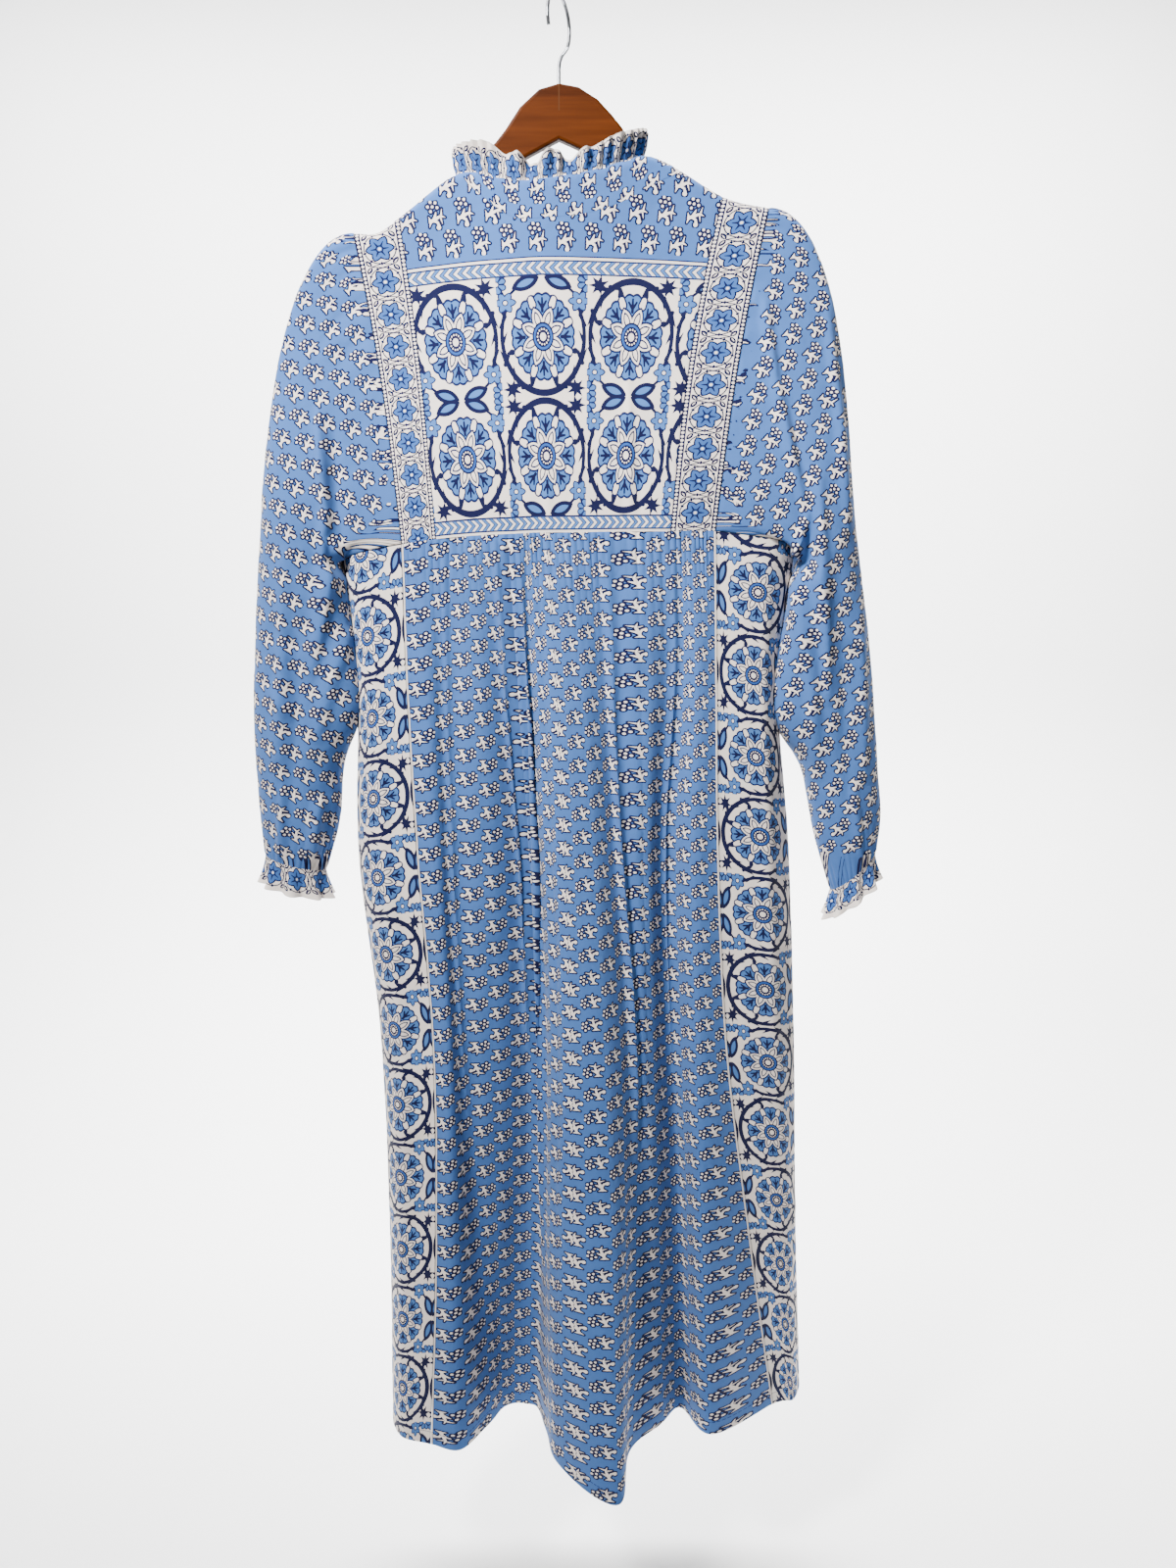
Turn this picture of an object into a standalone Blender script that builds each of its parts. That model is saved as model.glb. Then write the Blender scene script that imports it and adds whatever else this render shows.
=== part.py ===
# Long sleeve block-print dress on a flat wooden hanger, in metres, Z up.
# The origin is the bearing point inside the hook. The dress shows its back towards -Y.

import math

import bmesh
import bpy
import numpy as np

WALL = 0.0012
GAP = 0.0003
MM = 0.001

# Skirt columns round the body, in millimetres, at the six heights of LEVELS.
# Each row names a fold or seam, then gives x and y, the depth from the hanger's plane.
LEVELS = (-0.472, -0.600, -0.760, -0.960, -1.180, -1.398)
BACK_COLUMNS = (
    ("left_seam", (-148, -146, -140, -128, -129, -138), (-30, -36, -42, -50, -60, -68)),
    ("ridge_1", (-129, -126, -121, -112, -110, -108), (-33, -41, -48, -56, -66, -77)),
    ("fold_a", (-108, -108, -106, -101, -91, -82), (-36, -33, -36, -40, -40, -42)),
    ("ridge_2", (-83, -80, -73, -68, -65, -65), (-37, -43, -46, -41, -26, -12)),
    ("fold_b", (-60, -51, -39, -35, -37, -40), (-38, -33, -29, -23, -12, -8)),
    ("ridge_3", (-48, -42, -32, -26, -26, -30), (-38, -38, -36, -28, -16, -12)),
    ("fold_c", (-37, -33, -26, -19, -19, -19), (-38, -33, -31, -31, -38, -46)),
    ("ridge_4", (-24, -17, -11, -6, -8, -7), (-38, -44, -54, -67, -80, -88)),
    ("ridge_5", (12, 21, 32, 44, 53, 58), (-38, -47, -60, -78, -104, -128)),
    ("fold_d", (43, 49, 57, 70, 73, 70), (-37, -36, -42, -50, -62, -76)),
    ("ridge_6", (73, 77, 80, 87, 94, 101), (-36, -43, -48, -48, -44, -42)),
    ("fold_e", (104, 108, 102, 110, 121, 127), (-35, -29, -26, -22, -17, -14)),
    ("ridge_7", (122, 127, 125, 133, 143, 154), (-33, -40, -46, -49, -52, -54)),
    ("right_seam", (148, 149, 152, 164, 194, 228), (-30, -36, -42, -42, -30, -8)),
)
RIGHT_SIDE = ((219, 208, 226, 238, 248, 263), (0, 0, 0, 0, 8, 30))
LEFT_SIDE = ((-207, -195, -204, -188, -184, -185), (0, 0, 0, 0, -4, -16))
FRONT_SEAM_Y = (30, 36, 42, 47, 54, 62)
FRONT_RIDGE_Y = (35, 42, 49, 57, 66, 76)
FRONT_FOLD_Y = (36, 34, 35, 36, 38, 42)
FRONT_PLEATS = 9
SIDE_ROUND = 0.74

# How far the seam under the yoke and the hem leave their levels, column by column
TOP_SHIFT = (
    ("left_side", -22),
    ("left_seam", -5),
    ("fold_c", 5),
    ("ridge_5", 6),
    ("fold_e", 7),
    ("right_seam", 7),
    ("right_side", -7),
)
HEM_SHIFT = (("fold_c", 0), ("ridge_4", -3), ("ridge_5", -18), ("fold_d", 0))

# The line over the shoulders and round the back of the neck: x, z in millimetres
TOP_LINE = (
    (-190, -198.0),
    (-167, -198.5),
    (-139, -180.0),
    (-117, -164.5),
    (-94, -150.5),
    (-76, -150.5),
    (-55, -156.5),
    (-34, -159.5),
    (-9, -157.5),
    (26, -151.5),
    (60, -140.5),
    (77, -134.0),
    (95, -138.5),
    (115, -149.0),
    (155, -170.0),
    (178, -175.0),
    (193, -177.0),
)
SHOULDER_X = (-0.187, 0.190)
NECK_X, NECK_HALF, NECK_DEPTH = -0.0085, 0.0845, 0.024
FRONT_NECK_DROP, FRONT_NECK_FLAT = 0.014, 0.010
RIDGE_R = 0.008
SHOULDER_DEPTH, NECK_EXTRA, NECK_SPREAD = 0.0105, 0.0155, 0.09

# Lower edge of the back neck yoke: x, z in millimetres
CRESCENT = (
    (-90, -151.2),
    (-83, -159.5),
    (-70, -171),
    (-48, -187.5),
    (-9, -190.5),
    (30, -185.5),
    (76, -167.5),
    (92, -157.5),
    (112.5, -148.5),
)
CRESCENT_X = (-0.090, 0.1125)
CRESCENT_COLUMNS = (-90, -87, -83, -77, -68, -55, -40, -25, -9, 8, 24, 38, 50, 60, 67, 72, 75.5, 79, 86, 95, 104, 112.5)
LEFT_COLUMNS = (-150, -128, -111, -100, -93.5)
FRONT_LEFT_COLUMNS = (-150, -128, -110, -99, -93.5, -91, -87, -80, -70, -56, -40, -25)
FRONT_RIGHT_COLUMNS = (7, 22, 37, 51, 61, 69, 73.5, 76, 80, 92, 110, 130, 153)
BAND_T, RIGHT_BAND_EXTRA = 0.097, 0.031
PLACKET_HALF_T = 0.0425

# Frill round the back of the neck: x, forward wave and height in millimetres
FRILL = (
    (-93, 2, 22),
    (-76, 6, 24),
    (-59, 5, 27),
    (-46, 1, 20),
    (-34, 5, 22),
    (-26, -4, 14),
    (-19, -1, 14),
    (-10, 5, 22),
    (-2, 4, 21),
    (10, -4, 12),
    (20, 4, 19),
    (30, 2, 19),
    (45, 6, 23),
    (58, 5, 24),
    (76, 2, 23),
)
FRONT_FRILL_WAVES, FRONT_FRILL_H, FRILL_LEAN, FRILL_LIFT = 6, 0.021, 0.002, 0.0006

# Sleeve rings in millimetres: outer x, z, inner x, z, half depth
LEFT_RINGS = (
    (-284, -444, -211, -530, 34),
    (-296, -560, -203, -628, 31),
    (-302, -668, -218, -700, 30),
    (-300, -738, -223, -748, 28),
    (-297, -780, -238, -796, 23),
)
RIGHT_RINGS = (
    (281, -462, 225, -528, 34),
    (300, -580, 213.5, -636, 31),
    (312, -690, 240, -702, 30),
    (317, -742, 254, -765, 27),
    (313.5, -778, 271, -817, 21),
)
RING_V = (0.0, 0.36, 0.58, 0.78, 0.91, 1.0)
CORNER_A = 0.36
HEAD_GATHERS, HEAD_SPAN, HEAD_DEPTH = 8, 0.30, 0.0022
CUFF_LENGTH, CUFF_WAVES, CUFF_DEPTH, CUFF_FLARE, CUFF_GAP = 0.029, 9, 0.0042, 0.0055, 0.0006

GATHERS_FADE, GATHERS_DEPTH = 0.16, 0.0021
SKIRT_ROWS = (0.0, 0.014, 0.035, 0.065, 0.105, 0.16, 0.24, 0.34, 0.45, 0.57, 0.69, 0.81, 0.91, 1.0)
BUTTONS, BUTTON_R, BUTTON_T = 5, 0.0055, 0.0024

# Hanger outline: x, z in millimetres, clockwise from the left tip
WOOD_UNDER = 0.0024
WOOD_SHOULDERS = ((-188, -176, -164, -152, -140, -128, -116, -104, -94), (90, 102, 114, 126, 138, 150, 162, 174, 186))
WOOD_LEFT_TIP = ((-191, -226), (-197, -219), (-197, -208))
WOOD_CROWN = (
    (-85, -151.5),
    (-78, -141),
    (-68, -131.5),
    (-57.5, -122),
    (-48.5, -111.5),
    (-35, -92.5),
    (-18, -78),
    (0, -73),
    (17.5, -76),
    (34.5, -86),
    (48, -99.5),
    (57, -110),
    (63, -120),
    (70, -138.5),
)
WOOD_BELOW = (
    (196, -187),
    (196, -199),
    (190, -206),
    (150, -194),
    (100, -171),
    (60, -150),
    (18, -127),
    (0, -119.3),
    (-28.5, -133.5),
    (-70, -157.5),
    (-110, -183),
    (-150, -206),
)
WOOD_T, WOOD_BEVEL = 0.012, 0.0024

# Hook centre line in its own upright plane: distance out, height
WIRE_R, HOOK_R, HOOK_TURN = 0.0016, 0.0236, math.radians(67)
SHANK = ((0, -86), (0, -70), (0, -60), (1.6, -54), (6, -47.5))
HOOK_FROM, HOOK_TO, HOOK_STEPS, WIRE_SIDES = -55, 205, 16, 10


def spline(knots, values, at, period=None):
    # Smooth curve through the values, with slopes from the neighbours
    k = np.asarray(knots, float)
    v = np.asarray(values, float)
    at = np.asarray(at, float)
    if period:
        k = np.concatenate([k[-2:] - period, k, k[:3] + period])
        v = np.concatenate([v[-2:], v, v[:3]])
        at = k[2] + np.mod(at - k[2], period)
    slope = np.empty_like(v)
    width = (k[1:] - k[:-1]).reshape((-1,) + (1,) * (v.ndim - 1))
    rate = (v[1:] - v[:-1]) / width
    slope[0], slope[-1] = rate[0], rate[-1]
    slope[1:-1] = (rate[:-1] * width[1:] + rate[1:] * width[:-1]) / (width[1:] + width[:-1])
    i = np.clip(np.searchsorted(k, at, side="right") - 1, 0, len(k) - 2)
    wide = k[i + 1] - k[i]
    t = (at - k[i]) / wide
    shape = t.shape + (1,) * (v.ndim - 1)
    t, wide = t.reshape(shape), wide.reshape(shape)
    a = 2 * t**3 - 3 * t**2 + 1
    b = t**3 - 2 * t**2 + t
    c = -2 * t**3 + 3 * t**2
    d = t**3 - t**2
    return a * v[i] + b * wide * slope[i] + c * v[i + 1] + d * wide * slope[i + 1]


def ease(t):
    t = np.clip(t, 0.0, 1.0)
    return t * t * (3 - 2 * t)


def ring_columns():
    # Names with x and y at each level, once round from the back's left seam
    names = [row[0] for row in BACK_COLUMNS]
    xs = [row[1] for row in BACK_COLUMNS]
    ys = [row[2] for row in BACK_COLUMNS]
    left, right = (np.array(xs[0], float), np.array(xs[-1], float))

    def corner(name, seam_x, seam_y, side):
        x = seam_x + (np.array(side[0]) - seam_x) * SIDE_ROUND
        y = np.array(side[1]) + (np.array(seam_y) - np.array(side[1])) * SIDE_ROUND
        names.append(name)
        xs.append(x)
        ys.append(y)

    corner("right_back", right, ys[len(BACK_COLUMNS) - 1], RIGHT_SIDE)
    names.append("right_side")
    xs.append(RIGHT_SIDE[0])
    ys.append(RIGHT_SIDE[1])
    corner("right_front", right, FRONT_SEAM_Y, RIGHT_SIDE)
    for i in range(FRONT_PLEATS + 2):
        share = i / (FRONT_PLEATS + 1)
        edge = i in (0, FRONT_PLEATS + 1)
        names.append("front_%d" % i)
        xs.append(right + (left - right) * share)
        ys.append(FRONT_SEAM_Y if edge else FRONT_RIDGE_Y if i % 2 else FRONT_FOLD_Y)
    corner("left_front", left, FRONT_SEAM_Y, LEFT_SIDE)
    names.append("left_side")
    xs.append(LEFT_SIDE[0])
    ys.append(LEFT_SIDE[1])
    corner("left_back", left, ys[0], LEFT_SIDE)
    return names, np.array(xs, float).T * MM, np.array(ys, float).T * MM


NAMES, RING_X, RING_Y = ring_columns()
STEP = np.hypot(np.diff(RING_X, axis=1, append=RING_X[:, :1]), np.diff(RING_Y, axis=1, append=RING_Y[:, :1]))
KNOTS = np.concatenate([[0.0], np.cumsum(STEP.mean(axis=0))])
AROUND = KNOTS[-1]
KNOTS = KNOTS[:-1]


def place(name):
    return KNOTS[NAMES.index(name)]


def shifts(table):
    # Values of a short table for every column, spread evenly between the named ones
    spots = [(place(name), value * MM) for name, value in table]
    spots.sort()
    return spline([s[0] for s in spots], [s[1] for s in spots], KNOTS, AROUND)


TOP_DZ = shifts(TOP_SHIFT)
HEM_DZ = np.zeros(len(NAMES))
for column, drop in HEM_SHIFT:
    HEM_DZ[NAMES.index(column)] = drop * MM


def ring(u, w):
    # Body below the yoke: u round it in metres, w from 0 at the yoke's seam to 1 at the hem
    u, w = np.broadcast_arrays(np.asarray(u, float), np.asarray(w, float))
    flat_u, flat_w = u.ravel(), w.ravel()
    out = np.empty((flat_u.size, 3))
    for value in np.unique(flat_w):
        here = flat_w == value
        level = LEVELS[0] + (LEVELS[-1] - LEVELS[0]) * value
        key = [-v for v in LEVELS]
        x = spline(key, RING_X, np.array([-level]))[0]
        y = spline(key, RING_Y, np.array([-level]))[0]
        z = level + TOP_DZ * (1 - value) ** 2 + HEM_DZ * max(value, 0.0) ** 4
        out[here] = spline(KNOTS, np.stack([x, y, z], axis=1), flat_u[here], AROUND)
    return out.reshape(u.shape + (3,))


SEAM_U = (place("left_seam"), place("right_seam"))
FRONT_U = (place("front_0"), place("front_%d" % (FRONT_PLEATS + 1)))
FINE = np.linspace(SEAM_U[0] - 0.01, SEAM_U[1] + 0.01, 400)
FINE_X = ring(FINE, 0.0)[:, 0]
FINE_FRONT = np.linspace(FRONT_U[0] - 0.01, FRONT_U[1] + 0.01, 400)
FINE_FRONT_X = ring(FINE_FRONT, 0.0)[:, 0]


def yoke_foot(side, t):
    # The point of the yoke's seam under column t, on the back (-1) or the front (1)
    left, right = ring(np.array(SEAM_U), 0.0)[:, 0]
    x = left + (right - left) * t
    if side < 0:
        u = np.interp(x, FINE_X, FINE)
    else:
        u = np.interp(x, FINE_FRONT_X[::-1], FINE_FRONT[::-1])
    return ring(u, 0.0)


def neck_reach(x):
    return NECK_DEPTH * np.sqrt(np.clip(1 - ((x - NECK_X) / NECK_HALF) ** 2, 0, None))


def top_z(side, x):
    table = np.array(TOP_LINE) * MM
    z = spline(table[:, 0], table[:, 1], x)
    if side > 0:
        z = z - FRONT_NECK_DROP * ease((neck_reach(x) - FRONT_NECK_FLAT) / (NECK_DEPTH - FRONT_NECK_FLAT))
    return z


def column_height(side, t):
    x = SHOULDER_X[0] + (SHOULDER_X[1] - SHOULDER_X[0]) * t
    return top_z(side, x) - yoke_foot(side, t)[..., 2]


def upper(side, t, h):
    # Body above the yoke's seam: t across it, h down from the shoulder or neck line
    t, h = np.broadcast_arrays(np.asarray(t, float), np.asarray(h, float))
    foot = yoke_foot(side, t)
    x0 = SHOULDER_X[0] + (SHOULDER_X[1] - SHOULDER_X[0]) * t
    z0 = top_z(side, x0)
    q = h / (z0 - foot[..., 2])
    reach = neck_reach(x0)
    near = SHOULDER_DEPTH + NECK_EXTRA * np.exp(-(((x0 - NECK_X) / NECK_SPREAD) ** 2))
    deep = near + (np.abs(foot[..., 1]) - near) * ease(q)
    turn = np.sqrt(1 - (1 - np.clip(h / RIDGE_R, 0, 1)) ** 2)
    y = side * (reach + (deep - reach) * turn)
    x = x0 + (foot[..., 0] - x0) * q
    return np.stack([x, y, z0 - h], axis=-1)


def upper_ways(side, t, h):
    # Surface directions of the same points, from small steps across and down
    across = upper(side, t + 0.0008, h) - upper(side, t - 0.0008, h)
    down = upper(side, t, h + 0.0004) - upper(side, t, np.maximum(h - 0.0004, 0.0))
    n = np.cross(across, down)
    return n / np.linalg.norm(n, axis=-1, keepdims=True)


def normals(points, closed):
    # Surface directions of a grid of points, rows down and columns across
    if closed:
        wide = np.roll(points, -1, axis=1) - np.roll(points, 1, axis=1)
    else:
        wide = np.gradient(points, axis=1)
    tall = np.gradient(points, axis=0)
    n = np.cross(wide, tall)
    return n / np.maximum(np.linalg.norm(n, axis=-1, keepdims=True), 1e-12)


def sheet_mesh(name, points, closed=False, wall=WALL, ways=None):
    # A closed wall of even thickness through a grid of points
    rows, cols = points.shape[:2]
    n = normals(points, closed) if ways is None else ways
    verts = np.concatenate([(points + n * wall / 2).reshape(-1, 3), (points - n * wall / 2).reshape(-1, 3)])
    half = rows * cols

    def at(i, j, back):
        return i * cols + j % cols + (half if back else 0)

    faces = []
    for i in range(rows - 1):
        for j in range(cols if closed else cols - 1):
            faces.append((at(i, j, 0), at(i, j + 1, 0), at(i + 1, j + 1, 0), at(i + 1, j, 0)))
            faces.append((at(i, j, 1), at(i + 1, j, 1), at(i + 1, j + 1, 1), at(i, j + 1, 1)))
    for j in range(cols if closed else cols - 1):
        faces.append((at(0, j, 0), at(0, j, 1), at(0, j + 1, 1), at(0, j + 1, 0)))
        faces.append((at(rows - 1, j, 0), at(rows - 1, j + 1, 0), at(rows - 1, j + 1, 1), at(rows - 1, j, 1)))
    if not closed:
        for i in range(rows - 1):
            faces.append((at(i, 0, 0), at(i + 1, 0, 0), at(i + 1, 0, 1), at(i, 0, 1)))
            faces.append((at(i, cols - 1, 0), at(i, cols - 1, 1), at(i + 1, cols - 1, 1), at(i + 1, cols - 1, 0)))
    return solid(name, verts, faces)


def solid(name, verts, faces):
    mesh = bpy.data.meshes.new(name)
    mesh.from_pydata([tuple(v) for v in verts], [], faces)
    bm = bmesh.new()
    bm.from_mesh(mesh)
    bmesh.ops.recalc_face_normals(bm, faces=bm.faces)
    if bm.calc_volume(signed=True) < 0:
        bmesh.ops.reverse_faces(bm, faces=bm.faces)
    bm.to_mesh(mesh)
    bm.free()
    made = bpy.data.objects.new(name, mesh)
    bpy.context.scene.collection.objects.link(made)
    return made


def material(made, colour, roughness, metallic=0.0):
    look = bpy.data.materials.new(made.name)
    look.use_nodes = True
    shader = look.node_tree.nodes["Principled BSDF"]
    shader.inputs["Base Color"].default_value = (*colour, 1)
    shader.inputs["Roughness"].default_value = roughness
    shader.inputs["Metallic"].default_value = metallic
    made.data.materials.append(look)


BLUE, WHITE, NAVY = (0.19, 0.35, 0.62), (0.80, 0.76, 0.70), (0.03, 0.04, 0.13)


def between(names, parts):
    # Column positions with the same number of parts between each pair of names
    spots = [place(name) for name in names]
    spots = [s if i == 0 or s > spots[0] else s + AROUND for i, s in enumerate(spots)]
    out = [np.linspace(a, b, parts, endpoint=False) for a, b in zip(spots, spots[1:])]
    return np.append(np.concatenate(out), spots[-1])


def inset(u):
    u = u.copy()
    u[0] += GAP / 2
    u[-1] -= GAP / 2
    return u


def gathered(u, rows, start):
    # Small folds under the yoke, four columns to a fold, that fade down the skirt
    w = np.array(rows)[:, None]
    points = ring(u[None, :], w)
    w = w - rows[0]
    strength = GATHERS_DEPTH * ease(w / 0.03) * (1 - ease((w - 0.03) / GATHERS_FADE))
    wave = np.sin((np.arange(len(u)) + start) * math.pi / 2)
    fade = ease(np.minimum(np.arange(len(u)), len(u) - 1 - np.arange(len(u))) / 4)
    points[..., 1] -= strength * wave * fade * np.sign(-points[..., 1])
    return points


def make_skirt():
    height = LEVELS[0] - LEVELS[-1]
    rows = [GAP / 2 / height] + list(SKIRT_ROWS[1:])
    back = inset(between([row[0] for row in BACK_COLUMNS], 5))
    made = sheet_mesh("skirt_back", gathered(back, rows, 0))
    material(made, BLUE, 0.9)
    front = inset(between(["front_%d" % i for i in range(FRONT_PLEATS + 2)], 3))
    made = sheet_mesh("skirt_front", gathered(front, rows, 1))
    material(made, BLUE, 0.9)
    right = inset(between(("right_seam", "right_back", "right_side", "right_front", "front_0"), 3))
    made = sheet_mesh("side_panel_right", ring(right[None, :], np.array(rows)[:, None]))
    material(made, WHITE, 0.9)
    last = "front_%d" % (FRONT_PLEATS + 1)
    left = inset(between((last, "left_front", "left_side", "left_back", "left_seam"), 3))
    made = sheet_mesh("side_panel_left", ring(left[None, :], np.array(rows)[:, None]))
    material(made, WHITE, 0.9)


def rows_down(start, full, steps, below=GAP / 2):
    # Distances down a column: over the rounded shoulder first, then evenly to its foot
    arc = RIDGE_R * (1 - np.cos(np.radians((0, 32, 60, 90))))
    rest = np.linspace(0, 1, steps + 1)[1:]
    last = full - below
    first = start + arc
    return np.concatenate([first, first[-1] + (last - first[-1]) * rest])


def make_yoke():
    width = SHOULDER_X[1] - SHOULDER_X[0]
    step = GAP / width
    c0 = (CRESCENT_X[0] - SHOULDER_X[0]) / width
    c1 = (CRESCENT_X[1] - SHOULDER_X[0]) / width
    table = np.array(CRESCENT) * MM

    def crescent(t):
        x = SHOULDER_X[0] + width * t
        return top_z(-1, x) - spline(table[:, 0], table[:, 1], x)

    left, right = BAND_T + step, 1 - BAND_T - step
    t_seam = (np.array(CRESCENT_COLUMNS) * MM - SHOULDER_X[0]) / width
    t_seam[0], t_seam[-1] = c0, c1
    t_left = (np.array(LEFT_COLUMNS) * MM - SHOULDER_X[0]) / width
    t_left[0] = left
    t_top = np.concatenate([t_left, t_seam, np.linspace(c1 + 0.012, right, 3)])
    grid, ways = [], []
    for t in t_top:
        start = crescent(t) + GAP if c0 - 1e-6 <= t <= c1 + 1e-6 else 0.0
        full = column_height(-1, np.array(t))
        h = rows_down(start, full, 6)
        share = (t - left) / (right - left)
        edge = right - RIGHT_BAND_EXTRA * (h - start) / (full - start)
        across = left + (edge - left) * share
        h = h * (column_height(-1, across) - GAP / 2) / (full - GAP / 2)
        point = upper(-1, across, h)
        point[0, 1] = min(point[0, 1], -GAP / 2)
        grid.append(point)
        ways.append(upper_ways(-1, across, h))
    made = sheet_mesh("back_yoke", np.array(grid).transpose(1, 0, 2), ways=np.array(ways).transpose(1, 0, 2))
    material(made, WHITE, 0.9)

    t = t_seam.copy()
    t[0] += step
    t[-1] -= step
    h = crescent(t)[None, :] * np.array((0.0, 0.2, 0.5, 1.0))[:, None]
    points = upper(-1, t[None, :], h)
    points[0, :, 1] = np.minimum(points[0, :, 1], -GAP / 2)
    made = sheet_mesh("back_neck_yoke", points, ways=upper_ways(-1, t[None, :], h))
    material(made, BLUE, 0.9)

    for name, first in (("band_left", True), ("band_right", False)):
        columns = []
        for share in np.linspace(0, 1, 4):
            parts = []
            for side in (-1, 1):
                t0 = BAND_T * share if first else 1 - BAND_T * (1 - share)
                full = column_height(side, np.array(t0))
                h = rows_down(0.0, full, 7)
                extra = 0 if first or side > 0 else RIGHT_BAND_EXTRA * (1 - share) * h / full
                h = h * (column_height(side, t0 - extra) - GAP / 2) / (full - GAP / 2)
                parts.append(upper(side, t0 - extra, h))
            columns.append(np.concatenate([parts[0][::-1], parts[1][1:]]))
        made = sheet_mesh(name, np.array(columns).transpose(1, 0, 2))
        material(made, WHITE, 0.9)

    middle = (NECK_X - SHOULDER_X[0]) / width
    inner = PLACKET_HALF_T + step
    for name, columns, a, b in (
        ("front_yoke_left", FRONT_LEFT_COLUMNS, BAND_T + step, middle - inner),
        ("front_yoke_right", FRONT_RIGHT_COLUMNS, middle + inner, 1 - BAND_T - step),
    ):
        spots = (np.array(columns) * MM - SHOULDER_X[0]) / width
        spots[0], spots[-1] = a, b
        grid, ways = [], []
        for t in spots:
            h = rows_down(0.0, column_height(1, np.array(t)), 6)
            point = upper(1, t, h)
            point[0, 1] = max(point[0, 1], GAP / 2)
            grid.append(point)
            ways.append(upper_ways(1, t, h))
        made = sheet_mesh(name, np.array(grid).transpose(1, 0, 2), ways=np.array(ways).transpose(1, 0, 2))
        material(made, BLUE, 0.9)

    t = np.linspace(middle - PLACKET_HALF_T, middle + PLACKET_HALF_T, 3)
    grid = [upper(1, c, rows_down(0.0, column_height(1, np.array(c)), 8)) for c in t]
    made = sheet_mesh("placket", np.array(grid).transpose(1, 0, 2))
    material(made, BLUE, 0.9)
    full = column_height(1, np.array(middle))
    for i in range(BUTTONS):
        h = full * (0.07 + 0.84 * i / (BUTTONS - 1))
        make_button("button_%d" % (i + 1), upper(1, middle, h), upper(1, middle, h + 0.002))


def make_button(name, spot, below):
    # A flat round button that stands just clear of the placket's face
    down = below - spot
    down /= np.linalg.norm(down)
    out = np.cross(down, (-1.0, 0.0, 0.0))
    out /= np.linalg.norm(out)
    across = np.cross(out, down)
    verts, faces = [], []
    sides = 16
    start = WALL / 2 + GAP
    profile = ((0.78, 0.0), (1.0, 0.0007), (1.0, BUTTON_T - 0.0006), (0.86, BUTTON_T))
    for share, height in profile:
        for k in range(sides):
            angle = 2 * math.pi * k / sides
            flat = across * math.cos(angle) + down * math.sin(angle)
            verts.append(spot + flat * BUTTON_R * share + out * (start + height))
    for ring_no in range(len(profile) - 1):
        for k in range(sides):
            a = ring_no * sides + k
            b = ring_no * sides + (k + 1) % sides
            faces.append((a, b, b + sides, a + sides))
    faces.append(tuple(reversed(range(sides))))
    faces.append(tuple((len(profile) - 1) * sides + k for k in range(sides)))
    made = solid(name, verts, faces)
    material(made, (0.62, 0.56, 0.46), 0.35)


def make_neck_frill():
    # An open ring: it starts and ends at the front placket
    table = np.array(FRILL, float)
    turns = np.linspace(0.004, 0.996, 85)
    x = NECK_X + NECK_HALF * np.sin(2 * math.pi * turns)
    y = NECK_DEPTH * np.cos(2 * math.pi * turns)
    back = y < 0
    wave = np.where(
        back,
        spline(table[:, 0], table[:, 1], x / MM) * MM,
        0.003 + 0.003 * np.sin(2 * math.pi * FRONT_FRILL_WAVES * 2 * turns),
    )
    high = np.where(back, spline(table[:, 0], table[:, 2], x / MM) * MM, FRONT_FRILL_H)
    settle = ease(np.abs(y) / NECK_DEPTH / 0.5)
    wave = FRILL_LEAN + wave * settle
    seam_back, seam_front = [np.array(c) * MM for c in (CRESCENT_COLUMNS, FRONT_LEFT_COLUMNS + FRONT_RIGHT_COLUMNS)]
    edge = [np.interp(x, c, top_z(side, c)) for side, c in ((-1, seam_back), (1, seam_front))]
    base = np.where(back, edge[0], edge[1]) + FRILL_LIFT + WALL * 0.9 * (1 - np.abs(y) / NECK_DEPTH)
    out = np.stack([np.sin(2 * math.pi * turns) * 0.6, np.cos(2 * math.pi * turns), 0 * x], axis=1)
    out /= np.linalg.norm(out, axis=1, keepdims=True)
    foot = np.stack([x, y, base], axis=1)
    rows = []
    for v in (0.0, 0.45, 1.0):
        point = foot + out * (wave * v)[:, None]
        point[:, 2] += high * v
        rows.append(point)
    rows = np.array(rows)
    ways = normals(rows, False)
    ways[0] = out * np.sign((ways[0] * out).sum(axis=1, keepdims=True))
    made = sheet_mesh("neck_frill", rows, ways=ways)
    material(made, WHITE, 0.9)


def armhole(sign, a):
    # Start of the sleeve: down the band's edge, then along the top of the side panel
    edge = -0.0016 if sign < 0 else 1.0016
    side = -1 if a <= 0.5 else 1
    b = a if a <= 0.5 else 1 - a
    if b <= CORNER_A:
        full = float(column_height(side, np.array(edge)))
        share = (b / CORNER_A) ** 1.8
        return upper(side, edge, (full - 0.001) * share)
    share = (b - CORNER_A) / (0.5 - CORNER_A)
    names = {
        (-1, -1): ("left_seam", "left_side"),
        (-1, 1): ("front_%d" % (FRONT_PLEATS + 1), "left_side"),
        (1, -1): ("right_seam", "right_side"),
        (1, 1): ("front_0", "right_side"),
    }[(sign, side)]
    u0, u1 = place(names[0]), place(names[1])
    if u1 - u0 > AROUND / 2:
        u1 -= AROUND
    if u0 - u1 > AROUND / 2:
        u1 += AROUND
    point = ring(u0 + (u1 - u0) * share, 0.0)
    point[2] += 0.0012
    return point


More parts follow.
